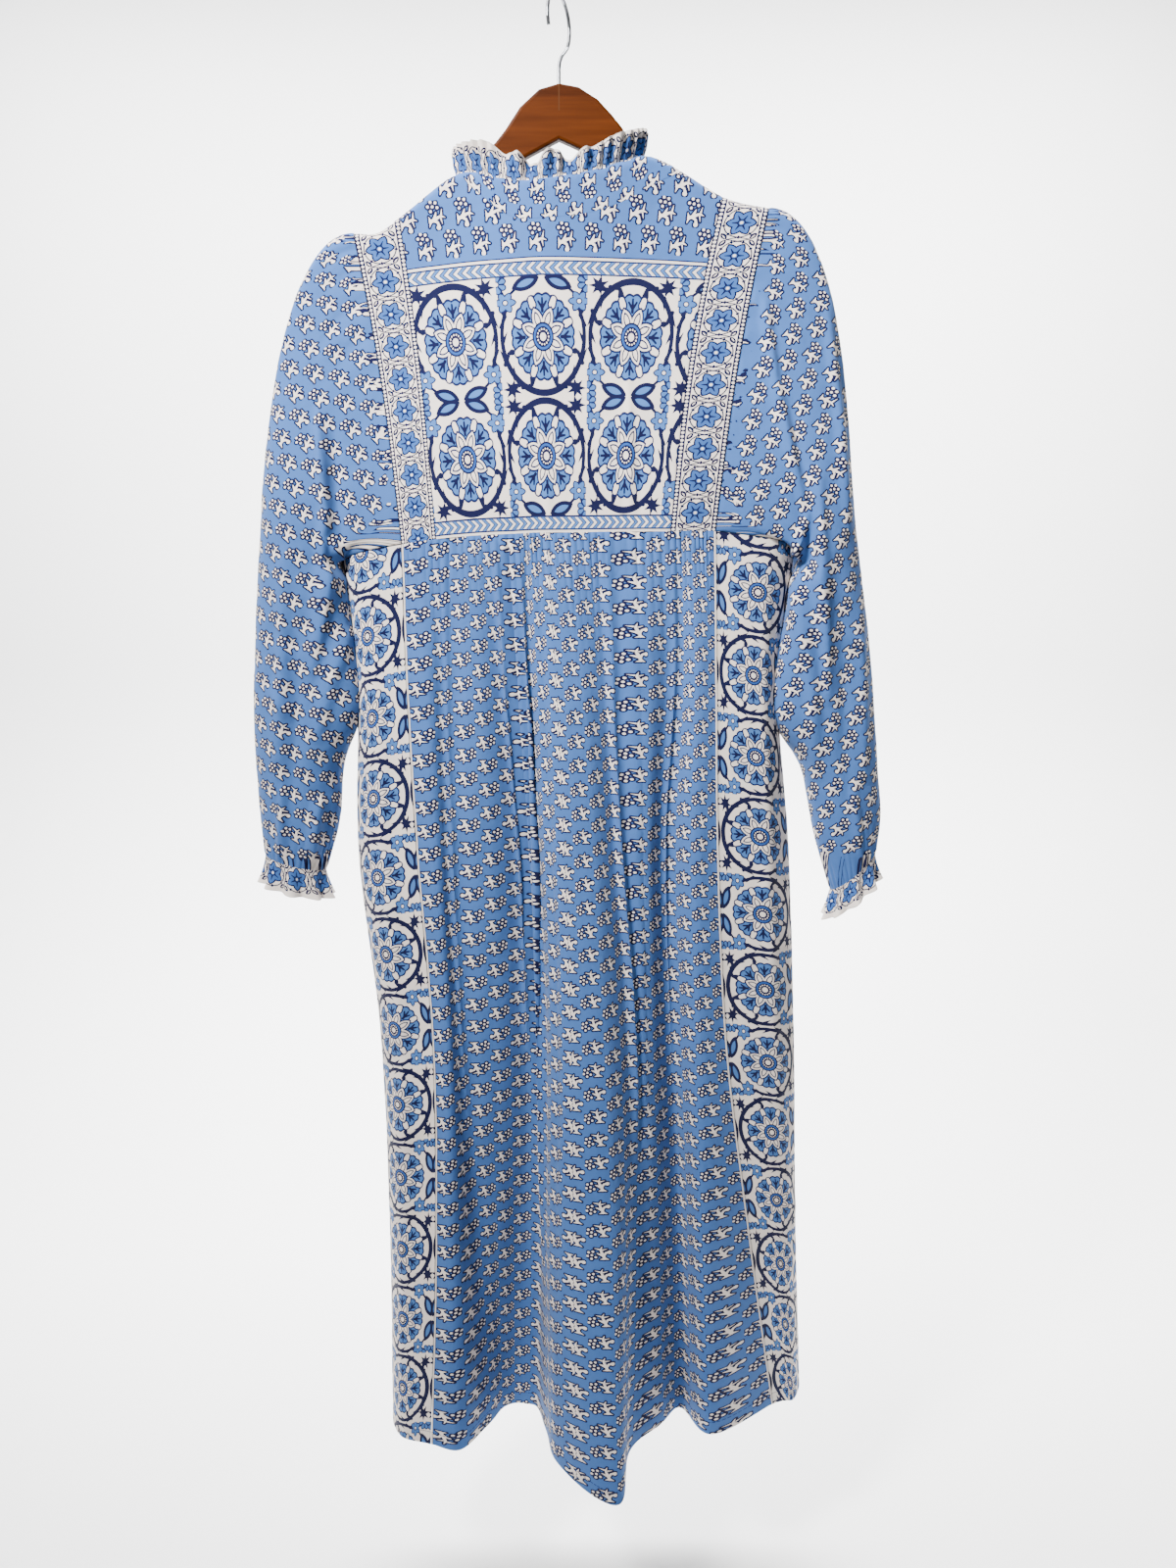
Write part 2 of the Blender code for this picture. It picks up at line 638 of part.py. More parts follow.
def sleeve_points(sign, turns, vs):
    table = np.array(LEFT_RINGS if sign < 0 else RIGHT_RINGS, float) * MM
    grid = np.empty((len(vs), len(turns), 3))
    for j, a in enumerate(turns):
        angle = 2 * math.pi * a
        rings = []
        for ox, oz, ix, iz, half in table:
            mid = np.array([(ox + ix) / 2, 0, (oz + iz) / 2])
            arm = np.array([(ox - ix) / 2, 0, (oz - iz) / 2])
            rings.append(mid + arm * math.cos(angle) + np.array([0, -half, 0]) * math.sin(angle))
        start = armhole(sign, a)
        rings = np.array([start] + rings)
        reach = np.linalg.norm(rings[1] - start)
        b = min(a, 1 - a)
        pull = 0.75 - 0.45 * float(ease(b / 0.5))
        side = -1 if a <= 0.5 else 1
        lean = float(ease((b - 0.30) / 0.12))
        way = np.array([sign, 0.55 * side * lean * math.cos(math.pi * (b - 0.3) / 0.4 * 0.5), 0.1 * lean])
        first = way / np.linalg.norm(way) * reach * pull
        second = (rings[2] - rings[1]) / (RING_V[2] - RING_V[1]) * RING_V[1]
        lower = spline(RING_V[1:], rings[1:], np.maximum(vs, RING_V[1]))
        t = np.clip(np.array(vs) / RING_V[1], 0, 1)[:, None]
        cap = (2 * t**3 - 3 * t**2 + 1) * start + (t**3 - 2 * t**2 + t) * first
        cap = cap + (3 * t**2 - 2 * t**3) * rings[1] + (t**3 - t**2) * second
        grid[:, j] = np.where(t < 1, cap, lower)
    return grid


def make_sleeve(name, sign):
    count = 40
    turns = np.arange(count) / count
    vs = np.array([0.0, 0.03, 0.075, 0.13, 0.20, 0.28, 0.38, 0.49, 0.62, 0.76, 0.89, 1.0])
    points = sleeve_points(sign, turns, vs)
    n = normals(points, True) * (1 if sign < 0 else -1)
    b = np.minimum(turns, 1 - turns)
    wave = np.sin(2 * math.pi * HEAD_GATHERS * (np.where(turns > 0.5, turns - 1, turns)) / (2 * HEAD_SPAN))
    wave = wave * (1 - ease((b - HEAD_SPAN + 0.08) / 0.08))
    strength = HEAD_DEPTH * ease(vs / 0.06) * (1 - ease((vs - 0.1) / 0.3))
    points = points + n * (strength[:, None] * wave[None, :])[..., None]
    along = points[-1] - points[-2]
    points[-1] -= along / np.linalg.norm(along, axis=1, keepdims=True) * CUFF_GAP / 2
    made = sheet_mesh(name, points, closed=True)
    material(made, BLUE, 0.9)


def make_cuff(name, sign):
    count = 40
    turns = np.arange(count) / count
    end = sleeve_points(sign, turns, np.array([0.90, 1.0]))
    down = end[1] - end[0]
    down /= np.linalg.norm(down, axis=1, keepdims=True)
    mid = end[1].mean(axis=0)
    out = end[1] - mid
    out[:, 2] *= 0.3
    out /= np.linalg.norm(out, axis=1, keepdims=True)
    rows = []
    for v in (0.0, 0.4, 1.0):
        wave = CUFF_DEPTH * v * np.sin(2 * math.pi * CUFF_WAVES * turns)
        point = end[1] + down * CUFF_GAP / 2 + out * (CUFF_FLARE * v * v + wave)[:, None]
        point[:, 2] -= CUFF_LENGTH * v
        rows.append(point)
    rows = np.array(rows)
    ways = normals(rows, True)
    ways[0] = normals(np.array([end[0], end[1], end[1] + down * 0.01]), True)[1]
    made = sheet_mesh(name, rows, closed=True, ways=ways)
    material(made, WHITE, 0.9)


def make_hanger():
    left, right = [
        [(x, float(top_z(-1, np.array(x * MM))) / MM - WOOD_UNDER / MM) for x in spots] for spots in WOOD_SHOULDERS
    ]
    outline = list(WOOD_LEFT_TIP) + left + list(WOOD_CROWN) + right + list(WOOD_BELOW)
    outline = [(x * MM, z * MM) for x, z in outline]
    count = len(outline)
    verts = [(x, -WOOD_T / 2, z) for x, z in outline] + [(x, WOOD_T / 2, z) for x, z in outline]
    faces = [tuple(range(count)), tuple(reversed(range(count, 2 * count)))]
    for i in range(count):
        j = (i + 1) % count
        faces.append((i, i + count, j + count, j))
    wood = solid("hanger_wood", verts, faces)
    material(wood, (0.36, 0.15, 0.06), 0.45)
    bevel = wood.modifiers.new("edges", "BEVEL")
    bevel.width, bevel.segments, bevel.limit_method = WOOD_BEVEL, 2, "ANGLE"
    bevel.angle_limit = math.radians(60)
    bore = tube("hook_bore", [(0, 0, -0.0885), (0, 0, -0.068)], WIRE_R + 0.0003, 12)
    cut = wood.modifiers.new("bore", "BOOLEAN")
    cut.operation, cut.solver, cut.object = "DIFFERENCE", "EXACT", bore
    bpy.context.view_layer.update()
    shaped = wood.evaluated_get(bpy.context.evaluated_depsgraph_get())
    made = bpy.data.meshes.new_from_object(shaped)
    wood.modifiers.clear()
    wood.data = made
    bpy.data.objects.remove(bore, do_unlink=True)

    path = [(d * MM, z * MM) for d, z in SHANK]
    for i in range(HOOK_STEPS + 1):
        angle = math.radians(HOOK_FROM + (HOOK_TO - HOOK_FROM) * i / HOOK_STEPS)
        path.append((HOOK_R * math.cos(angle), HOOK_R * math.sin(angle) - HOOK_R + WIRE_R))
    turned = [(d * math.cos(HOOK_TURN), d * math.sin(HOOK_TURN), z) for d, z in path]
    hook = tube("hanger_hook", turned, WIRE_R, WIRE_SIDES)
    material(hook, (0.55, 0.55, 0.56), 0.3, 1.0)


def tube(name, path, radius, sides):
    # A round bar along a path, with flat ends
    points = np.array(path, float)
    along = np.gradient(points, axis=0)
    along /= np.linalg.norm(along, axis=1, keepdims=True)
    flat = np.array([-math.sin(HOOK_TURN), math.cos(HOOK_TURN), 0.0])
    verts, faces = [], []
    for point, way in zip(points, along):
        other = np.cross(way, flat)
        for k in range(sides):
            angle = 2 * math.pi * k / sides
            verts.append(point + (flat * math.cos(angle) + other * math.sin(angle)) * radius)
    for i in range(len(points) - 1):
        for k in range(sides):
            a, b = i * sides + k, i * sides + (k + 1) % sides
            faces.append((a, b, b + sides, a + sides))
    faces.append(tuple(reversed(range(sides))))
    faces.append(tuple((len(points) - 1) * sides + k for k in range(sides)))
    return solid(name, verts, faces)


for old in list(bpy.data.objects):
    bpy.data.objects.remove(old, do_unlink=True)
make_hanger()
make_skirt()
make_yoke()
make_neck_frill()
make_sleeve("sleeve_left", -1)
make_sleeve("sleeve_right", 1)
make_cuff("cuff_frill_left", -1)
make_cuff("cuff_frill_right", 1)
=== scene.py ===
# Long sleeve block-print dress on a flat wooden hanger, in metres, Z up.
# The dress shows its back towards -Y and hangs from the origin, inside the hook.

import math

import bpy
import numpy as np
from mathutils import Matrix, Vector


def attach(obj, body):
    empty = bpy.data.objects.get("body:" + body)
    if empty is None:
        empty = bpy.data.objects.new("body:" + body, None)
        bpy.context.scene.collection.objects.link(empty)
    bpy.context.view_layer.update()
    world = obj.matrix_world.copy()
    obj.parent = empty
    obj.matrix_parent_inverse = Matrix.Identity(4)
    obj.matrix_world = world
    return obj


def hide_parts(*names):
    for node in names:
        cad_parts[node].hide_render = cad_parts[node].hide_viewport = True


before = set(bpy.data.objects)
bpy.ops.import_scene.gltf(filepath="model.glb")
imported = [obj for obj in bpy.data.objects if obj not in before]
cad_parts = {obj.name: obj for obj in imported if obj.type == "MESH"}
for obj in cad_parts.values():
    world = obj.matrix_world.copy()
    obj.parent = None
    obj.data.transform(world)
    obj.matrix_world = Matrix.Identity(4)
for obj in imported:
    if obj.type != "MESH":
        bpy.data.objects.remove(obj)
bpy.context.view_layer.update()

# Thickness of the cloth, and how far each sheet stays from its seams
MM, CLOTH, SEAM, TINY = 0.001, 0.0009, 0.0002, 1e-12

# Camera that took the photograph: 27 mm lens on a 36 mm frame, tipped down
CAMERA_AT = (0.026, -1.15, -0.4967)
CAMERA_TIP = math.radians(10.5)
LENS, SENSOR = 27.0, 36.0

# Studio: floor that curves up into a wall, in metres
FLOOR_Z, WALL_Y, SWEEP_R = -1.62, 1.5, 0.9
FLOOR_FRONT_Y, FLOOR_HALF_X, WALL_TOP, SWEEP_STEPS = -4.0, 5.0, 3.0, 12
WORLD_STRENGTH = 0.14

# Lamps: name, place, aim, size, watts, colour, spread in degrees
LAMPS = (
    ("window", (-0.8, -1.1, 0.8), (0.05, 0.0, -0.28), (0.35, 0.35), 25.0, (1.0, 0.985, 0.96), 75.0),
    ("fill", (1.6, -1.9, 0.5), (0.0, 0.0, -0.3), (1.6, 1.6), 1.0, (0.96, 0.98, 1.0), 70.0),
    ("wall_wash", (0.0, 0.5, 1.35), (0.0, 1.3, -0.9), (3.0, 0.4), 200.0, (1.0, 1.0, 1.0), 90.0),
)

# Fineness of the sheets
SKIRT_COLUMNS, SKIRT_SIDE_ROWS, SIDE_COLUMNS = 330, 120, 110
FRONT_COLUMNS, FRONT_ROWS = 260, 100
YOKE_COLUMNS, YOKE_ROWS = 190, 120
CRESCENT_COLUMNS, CRESCENT_ROWS = 150, 24
BAND_COLUMNS, BAND_ROWS = 22, 100
FRONT_YOKE_COLUMNS, FRONT_YOKE_ROWS = 80, 90
FRILL_COLUMNS, FRILL_ROWS, FRILL_PUCKERS = 520, 13, 46
SLEEVE_COLUMNS, SLEEVE_ROWS = 180, 150
CUFF_COLUMNS, CUFF_ROWS = 180, 12
PLACKET_COLUMNS, PLACKET_ROWS = 25, 110
RIDGE_ROWS = 9
SKIRT_CROWD, SIDE_CROWD, CRESCENT_CROWD, SLEEVE_CROWD = 1.2, 1.1, 1.6, 1.1
REFERENCE_ROW = 75
SMOOTH_ANGLE = math.radians(55)

# How sheets dip into their seams: depth in metres, width in millimetres
SEAM_DIP, SEAM_DIP_WIDTH = 0.0005, 1.6
# A distance to the side edges, in millimetres, for a tube that has none
NO_EDGE = 1000

# Gathers in each piece
BACK_GATHERS, FRONT_GATHERS, SLEEVE_GATHERS, CUFF_GATHERS = 46, 40, 26, 30
CRESCENT_GATHERS = 34
# Share of a skirt's width over which its gathers start, and where a gather starts and least ends
GATHER_EDGE, GATHER_START, GATHER_LEAST = 0.02, 3.0, 8

# Where the prints lie on their pieces, in millimetres of cloth
PRINT_MIDDLE_X = -0.0125
SIDE_PRINT_SQUEEZE, SIDE_PRINT_CUT = 1.45, 3.5
SIDE_PRINT_START = (0.0, 51.0)
YOKE_FOOT_PRINT = -121.0
PANEL_MIDDLE = (-11.9, -14.6)
PANEL_STRETCH = (1.076, 0.979)
BAND_PRINT_WIDTH, BAND_PRINT_START = 36.8, 3.0
SLEEVE_PRINT_TURN, PRINT_LEVELS = (52.0, -48.0), 240
BORDER_HALF = 53.0

# How far a sleeve leans on the body, towards it and backwards, between depths below the hook
ARM_PRESS, ARM_REACH = (8.5, 7.5), 0.034
ARM_LOW, ARM_LOW_FADE, ARM_HIGH, ARM_HIGH_FADE = 690, 60, 488, 26

# Waves of worn cotton: heights, then wave lengths across and down, in millimetres
CRUMPLE = (1.1, 0.45)
BROAD_ACROSS, BROAD_SWAY, BROAD_DOWN = 13.0, 31.0, 17.0
FINE_ACROSS, FINE_SLANT, FINE_DOWN, FINE_TILT = 5.1, 9.0, 6.3, 11.0
# How a listed fold sways, over how long a wave, and how it fades at its ends
FOLD_SWAY, FOLD_SWAY_LENGTH, FOLD_FADE = 0.12, 23.0, 0.6

# Folds down the skirt: column, from and to in millimetres below the seam, half width, height
SKIRT_FOLDS = (
    ("fold_a", 10, 620, 6.0, -5.1),
    ("ridge_2", 20, 700, 9.0, 3.6),
    ("fold_b", 0, 520, 5.0, -9.4),
    ("ridge_3", 0, 600, 5.0, 5.1),
    ("fold_c", 0, 760, 5.5, -9.4),
    ("ridge_4", 10, 800, 7.0, 3.6),
    ("fold_d", 0, 640, 6.0, -8.7),
    ("ridge_6", 10, 600, 8.0, 3.6),
    ("fold_e", 10, 560, 6.0, -6.5),
)

# Folds listed one by one: name, from across and down, to across and down, half width, height
YOKE_CREASES = (
    ("right_crumple", 62, 25, 66, -115, 4.0, 1.8),
    ("right_crumple_2", 72, -30, 74, -118, 3.0, -1.0),
    ("middle_dip", -12, -60, -10, -118, 5.0, 0.9),
)
BAND_CREASES = (
    ("soft_dip", 4, -60, 30, -90, 6.0, -0.8),
)
LEFT_SIDE_CREASES = (
    ("long", 30, 30, 34, 800, 7.0, -3.0),
    ("cross_1", 8, 470, 60, 520, 7.0, 2.2),
    ("cross_2", 8, 560, 60, 600, 8.0, -2.4),
    ("cross_3", 5, 660, 60, 690, 8.0, 2.4),
)
RIGHT_SIDE_CREASES = (
    ("long", 46, 20, 52, 700, 8.0, -2.6),
    ("cross_1", 10, 540, 70, 590, 8.0, 2.2),
    ("cross_2", 14, 640, 70, 700, 9.0, -2.6),
)
# Sleeve folds run between places on the back of the sleeve: x and depth below the hook
LEFT_SLEEVE_CREASES = (
    ("top_fold", -222, 354, -217, 468, 4.5, -7.5),
    ("low_fold", -217, 445, -236, 599, 5.0, -6.8),
    ("top_ridge", -208, 367, -205, 481, 6.0, 4.5),
    ("underarm_pull", -214, 468, -193, 528, 4.0, -5.2),
    ("outer_fold", -257, 481, -274, 704, 7.0, -3.8),
    ("long_ridge", -247, 535, -264, 752, 9.0, 3.8),
    ("elbow", -209, 553, -239, 665, 6.0, -4.5),
    ("cuff_hollow", -236, 718, -248, 786, 6.0, -8.2),
    ("cuff_fold", -270, 704, -276, 781, 4.0, -4.5),
    ("cross_1", -283, 609, -255, 642, 5.0, -2.4),
    ("cross_2", -279, 553, -243, 576, 6.0, 2.2),
)
RIGHT_SLEEVE_CREASES = (
    ("top_fold", 186, 257, 201, 350, 4.0, -6.8),
    ("middle_fold", 199, 333, 229, 454, 4.5, -8.2),
    ("underarm_pull", 231, 445, 220, 499, 4.0, -7.5),
    ("long_1", 244, 257, 270, 468, 4.5, -5.2),
    ("long_2", 239, 410, 256, 628, 5.0, -6.8),
    ("long_3", 229, 508, 251, 704, 5.5, -5.2),
    ("ridge_1", 211, 341, 242, 553, 7.0, 4.5),
    ("ridge_2", 261, 481, 280, 723, 8.0, 3.9),
    ("outer", 283, 517, 295, 704, 5.0, -3.9),
    ("cuff_fold", 283, 704, 294, 781, 4.0, -4.5),
    ("cross_1", 257, 553, 291, 576, 5.0, -2.2),
)

# Skirt columns round the body, in millimetres, at the six heights of LEVELS.
# Each row names a fold or seam, then gives x and y, the depth from the hanger's plane.
LEVELS = (-0.472, -0.600, -0.760, -0.960, -1.180, -1.398)
BACK_COLUMNS = (
    ("left_seam", (-148, -146, -140, -128, -129, -138), (-30, -36, -42, -50, -60, -68)),
    ("ridge_1", (-129, -126, -121, -112, -110, -108), (-33, -41, -48, -56, -66, -77)),
    ("fold_a", (-108, -108, -106, -101, -91, -82), (-36, -33, -36, -40, -40, -42)),
    ("ridge_2", (-83, -80, -73, -68, -65, -65), (-37, -43, -46, -41, -26, -12)),
    ("fold_b", (-60, -51, -39, -35, -37, -40), (-38, -33, -29, -23, -12, -8)),
    ("ridge_3", (-48, -42, -32, -26, -26, -30), (-38, -38, -36, -28, -16, -12)),
    ("fold_c", (-37, -33, -26, -19, -19, -19), (-38, -33, -31, -31, -38, -46)),
    ("ridge_4", (-24, -17, -11, -6, -8, -7), (-38, -44, -54, -67, -80, -88)),
    ("ridge_5", (12, 21, 32, 44, 53, 58), (-38, -47, -60, -78, -104, -128)),
    ("fold_d", (43, 49, 57, 70, 73, 70), (-37, -36, -42, -50, -62, -76)),
    ("ridge_6", (73, 77, 80, 87, 94, 101), (-36, -43, -48, -48, -44, -42)),
    ("fold_e", (104, 108, 102, 110, 121, 127), (-35, -29, -26, -22, -17, -14)),
    ("ridge_7", (122, 127, 125, 133, 143, 154), (-33, -40, -46, -49, -52, -54)),
    ("right_seam", (145, 148, 152, 164, 194, 228), (-30, -36, -42, -42, -30, -8)),
)
RIGHT_SIDE = ((224, 212, 226, 238, 248, 263), (0, 0, 0, 0, 8, 30))
LEFT_SIDE = ((-210, -200, -204, -188, -184, -185), (0, 0, 0, 0, -4, -16))
FRONT_SEAM_Y = (30, 36, 42, 47, 54, 62)
FRONT_RIDGE_Y = (35, 42, 49, 57, 66, 76)
FRONT_FOLD_Y = (36, 34, 35, 36, 38, 42)
FRONT_PLEATS = 9
SIDE_ROUND = 0.74

# How far the seam under the yoke and the hem leave their levels, column by column
TOP_SHIFT = (
    ("left_side", -22),
    ("left_seam", -5),
    ("fold_c", 5),
    ("ridge_5", 6),
    ("fold_e", 7),
    ("right_seam", 7),
    ("right_side", -7),
)
HEM_SHIFT = (("fold_c", 0), ("ridge_4", -3), ("ridge_5", -18), ("fold_d", 0))

# The line over the shoulders and round the back of the neck: x, z in millimetres
TOP_LINE = (
    (-190, -198.0),
    (-167, -198.5),
    (-139, -180.0),
    (-117, -164.5),
    (-94, -150.5),
    (-76, -150.5),
    (-55, -156.5),
    (-34, -159.5),
    (-9, -157.5),
    (26, -151.5),
    (60, -140.5),
    (77, -134.0),
    (95, -138.5),
    (115, -149.0),
    (155, -170.0),
    (178, -175.0),
    (193, -177.0),
)
SHOULDER_X = (-0.187, 0.190)
NECK_X, NECK_HALF, NECK_DEPTH = -0.0085, 0.0845, 0.024
FRONT_NECK_DROP, FRONT_NECK_FLAT = 0.014, 0.010
RIDGE_R = 0.008
SHOULDER_DEPTH, NECK_EXTRA, NECK_SPREAD = 0.0105, 0.0155, 0.09

# Lower edge of the back neck yoke: x, z in millimetres
CRESCENT = (
    (-90, -151.2),
    (-83, -159.5),
    (-70, -171),
    (-48, -187.5),
    (-9, -190.5),
    (30, -185.5),
    (76, -167.5),
    (92, -157.5),
    (112.5, -148.5),
)
CRESCENT_X = (-0.090, 0.1125)
BAND_T, RIGHT_BAND_EXTRA, YOKE_BOW = 0.112, 0.033, 0.0043
PLACKET_HALF_T, PLACKET_EDGE_T, PLACKET_LIFT = 0.0425, 0.0004, 0.0005
# Steps across and down that find which way the surface faces
STEP_T, STEP_H = 0.0008, 0.0004

# Frill round the back of the neck: x, forward wave and height in millimetres
FRILL = (
    (-93, 2, 22),
    (-76, 6, 24),
    (-59, 5, 27),
    (-46, 1, 20),
    (-34, 5, 22),
    (-26, -4, 14),
    (-19, -1, 14),
    (-10, 5, 22),
    (-2, 4, 21),
    (10, -4, 12),
    (20, 4, 19),
    (30, 2, 19),
    (45, 6, 23),
    (58, 5, 24),
    (76, 2, 23),
)
FRONT_FRILL_WAVES, FRONT_FRILL_H, FRILL_LEAN = 6, 0.021, 0.002
FRILL_ENDS, FRILL_OVAL, FRILL_PUCKER, FRILL_RUFFLE = (0.004, 0.996), 0.6, 0.0019, 0.0010
FRILL_PRINT_START, FRILL_PRINT_PACK, CUFF_PRINT_START = 9, 1.25, 12

# Sleeve rings in millimetres: outer x, z, inner x, z, half depth
LEFT_RINGS = (
    (-284, -444, -211, -530, 34),
    (-296, -560, -203, -628, 31),
    (-302, -668, -218, -700, 30),
    (-300, -738, -223, -748, 28),
    (-297, -780, -238, -796, 23),
)
RIGHT_RINGS = (
    (281, -462, 226, -528, 34),
    (300, -580, 213.5, -636, 31),
    (312, -690, 240, -702, 30),
    (317, -742, 254, -765, 27),
    (313.5, -778, 271, -817, 21),
)
RING_V = (0.0, 0.36, 0.58, 0.78, 0.91, 1.0)
# Start of the sleeve: where it turns along the side panel, and how it lies on the armhole
CORNER_A, ARMHOLE_OUT, ARMHOLE_CURVE, ARMHOLE_STOP, ARMHOLE_LIFT = 0.36, 0.0016, 1.8, 0.001, 0.0012
# How strongly the sleeve's cap leaves the armhole, and how its underarm leans outwards
CAP_PULL, CAP_PULL_LOSS = 0.75, 0.60
LEAN_FROM, LEAN_OVER, LEAN_OUT, LEAN_UP, LEAN_TURN = 0.30, 0.12, 0.55, 0.1, 0.4
HEAD_SPAN = 0.30
CUFF_LENGTH, CUFF_WAVES, CUFF_DEPTH, CUFF_FLARE = 0.029, 9, 0.0042, 0.0055

BUTTONS = 5


def spline(knots, values, at, period=None):
    # Smooth curve through the values, with slopes from the neighbours
    k = np.asarray(knots, float)
    v = np.asarray(values, float)
    at = np.asarray(at, float)
    if period:
        k = np.concatenate([k[-2:] - period, k, k[:3] + period])
        v = np.concatenate([v[-2:], v, v[:3]])
        at = k[2] + np.mod(at - k[2], period)
    slope = np.empty_like(v)
    width = (k[1:] - k[:-1]).reshape((-1,) + (1,) * (v.ndim - 1))
    rate = (v[1:] - v[:-1]) / width
    slope[0], slope[-1] = rate[0], rate[-1]
    slope[1:-1] = (rate[:-1] * width[1:] + rate[1:] * width[:-1]) / (width[1:] + width[:-1])
    i = np.clip(np.searchsorted(k, at, side="right") - 1, 0, len(k) - 2)
    wide = k[i + 1] - k[i]
    t = (at - k[i]) / wide
    shape = t.shape + (1,) * (v.ndim - 1)
    t, wide = t.reshape(shape), wide.reshape(shape)
    a = 2 * t**3 - 3 * t**2 + 1
    b = t**3 - 2 * t**2 + t
    c = -2 * t**3 + 3 * t**2
    d = t**3 - t**2
    return a * v[i] + b * wide * slope[i] + c * v[i + 1] + d * wide * slope[i + 1]


def ease(t):
    t = np.clip(t, 0.0, 1.0)
    return t * t * (3 - 2 * t)


def ring_columns():
    # Names with x and y at each level, once round from the back's left seam
    names = [row[0] for row in BACK_COLUMNS]
    xs = [row[1] for row in BACK_COLUMNS]
    ys = [row[2] for row in BACK_COLUMNS]
    left, right = (np.array(xs[0], float), np.array(xs[-1], float))

    def corner(name, seam_x, seam_y, side):
        x = seam_x + (np.array(side[0]) - seam_x) * SIDE_ROUND
        y = np.array(side[1]) + (np.array(seam_y) - np.array(side[1])) * SIDE_ROUND
        names.append(name)
        xs.append(x)
        ys.append(y)

    corner("right_back", right, ys[len(BACK_COLUMNS) - 1], RIGHT_SIDE)
    names.append("right_side")
    xs.append(RIGHT_SIDE[0])
    ys.append(RIGHT_SIDE[1])
    corner("right_front", right, FRONT_SEAM_Y, RIGHT_SIDE)
    for i in range(FRONT_PLEATS + 2):
        share = i / (FRONT_PLEATS + 1)
        edge = i in (0, FRONT_PLEATS + 1)
        names.append("front_%d" % i)
        xs.append(right + (left - right) * share)
        ys.append(FRONT_SEAM_Y if edge else FRONT_RIDGE_Y if i % 2 else FRONT_FOLD_Y)
    corner("left_front", left, FRONT_SEAM_Y, LEFT_SIDE)
    names.append("left_side")
    xs.append(LEFT_SIDE[0])
    ys.append(LEFT_SIDE[1])
    corner("left_back", left, ys[0], LEFT_SIDE)
    return names, np.array(xs, float).T * MM, np.array(ys, float).T * MM


NAMES, RING_X, RING_Y = ring_columns()
STEP_X = np.diff(RING_X, axis=1, append=RING_X[:, :1])
STEP_Y = np.diff(RING_Y, axis=1, append=RING_Y[:, :1])
STEP = np.hypot(STEP_X, STEP_Y)
KNOTS = np.concatenate([[0.0], np.cumsum(STEP.mean(axis=0))])
AROUND = KNOTS[-1]
KNOTS = KNOTS[:-1]


def place(name):
    return KNOTS[NAMES.index(name)]


def shifts(table):
    # Values of a short table for every column, spread evenly between the named ones
    spots = [(place(name), value * MM) for name, value in table]
    spots.sort()
    return spline([s[0] for s in spots], [s[1] for s in spots], KNOTS, AROUND)


TOP_DZ = shifts(TOP_SHIFT)
HEM_DZ = np.zeros(len(NAMES))
for column, drop in HEM_SHIFT:
    HEM_DZ[NAMES.index(column)] = drop * MM


def ring(u, w):
    # Body below the yoke: u round it in metres, w from 0 at the yoke's seam to 1 at the hem
    u, w = np.broadcast_arrays(np.asarray(u, float), np.asarray(w, float))
    flat_u, flat_w = u.ravel(), w.ravel()
    out = np.empty((flat_u.size, 3))
    for value in np.unique(flat_w):
        here = flat_w == value
        level = LEVELS[0] + (LEVELS[-1] - LEVELS[0]) * value
        key = [-v for v in LEVELS]
        x = spline(key, RING_X, np.array([-level]))[0]
        y = spline(key, RING_Y, np.array([-level]))[0]
        z = level + TOP_DZ * (1 - value) ** 2 + HEM_DZ * max(value, 0.0) ** 4
        out[here] = spline(KNOTS, np.stack([x, y, z], axis=1), flat_u[here], AROUND)
    return out.reshape(u.shape + (3,))


SEAM_U = (place("left_seam"), place("right_seam"))
FRONT_U = (place("front_0"), place("front_%d" % (FRONT_PLEATS + 1)))
FINE = np.linspace(SEAM_U[0] - 0.01, SEAM_U[1] + 0.01, 400)
FINE_X = ring(FINE, 0.0)[:, 0]
FINE_FRONT = np.linspace(FRONT_U[0] - 0.01, FRONT_U[1] + 0.01, 400)
FINE_FRONT_X = ring(FINE_FRONT, 0.0)[:, 0]


def yoke_foot(side, t):
    # The point of the yoke's seam under column t, on the back (-1) or the front (1)
    left, right = ring(np.array(SEAM_U), 0.0)[:, 0]
    x = left + (right - left) * t
    if side < 0:
        u = np.interp(x, FINE_X, FINE)
    else:
        u = np.interp(x, FINE_FRONT_X[::-1], FINE_FRONT[::-1])
    return ring(u, 0.0)


def neck_reach(x):
    return NECK_DEPTH * np.sqrt(np.clip(1 - ((x - NECK_X) / NECK_HALF) ** 2, 0, None))


def shoulder_x(t):
    return SHOULDER_X[0] + (SHOULDER_X[1] - SHOULDER_X[0]) * t


def across_width(x):
    return (x - SHOULDER_X[0]) / (SHOULDER_X[1] - SHOULDER_X[0])


def top_z(side, x):
    table = np.array(TOP_LINE) * MM
    z = spline(table[:, 0], table[:, 1], x)
    if side > 0:
        share = (neck_reach(x) - FRONT_NECK_FLAT) / (NECK_DEPTH - FRONT_NECK_FLAT)
        z = z - FRONT_NECK_DROP * ease(share)
    return z


def column_height(side, t):
    return top_z(side, shoulder_x(t)) - yoke_foot(side, t)[..., 2]


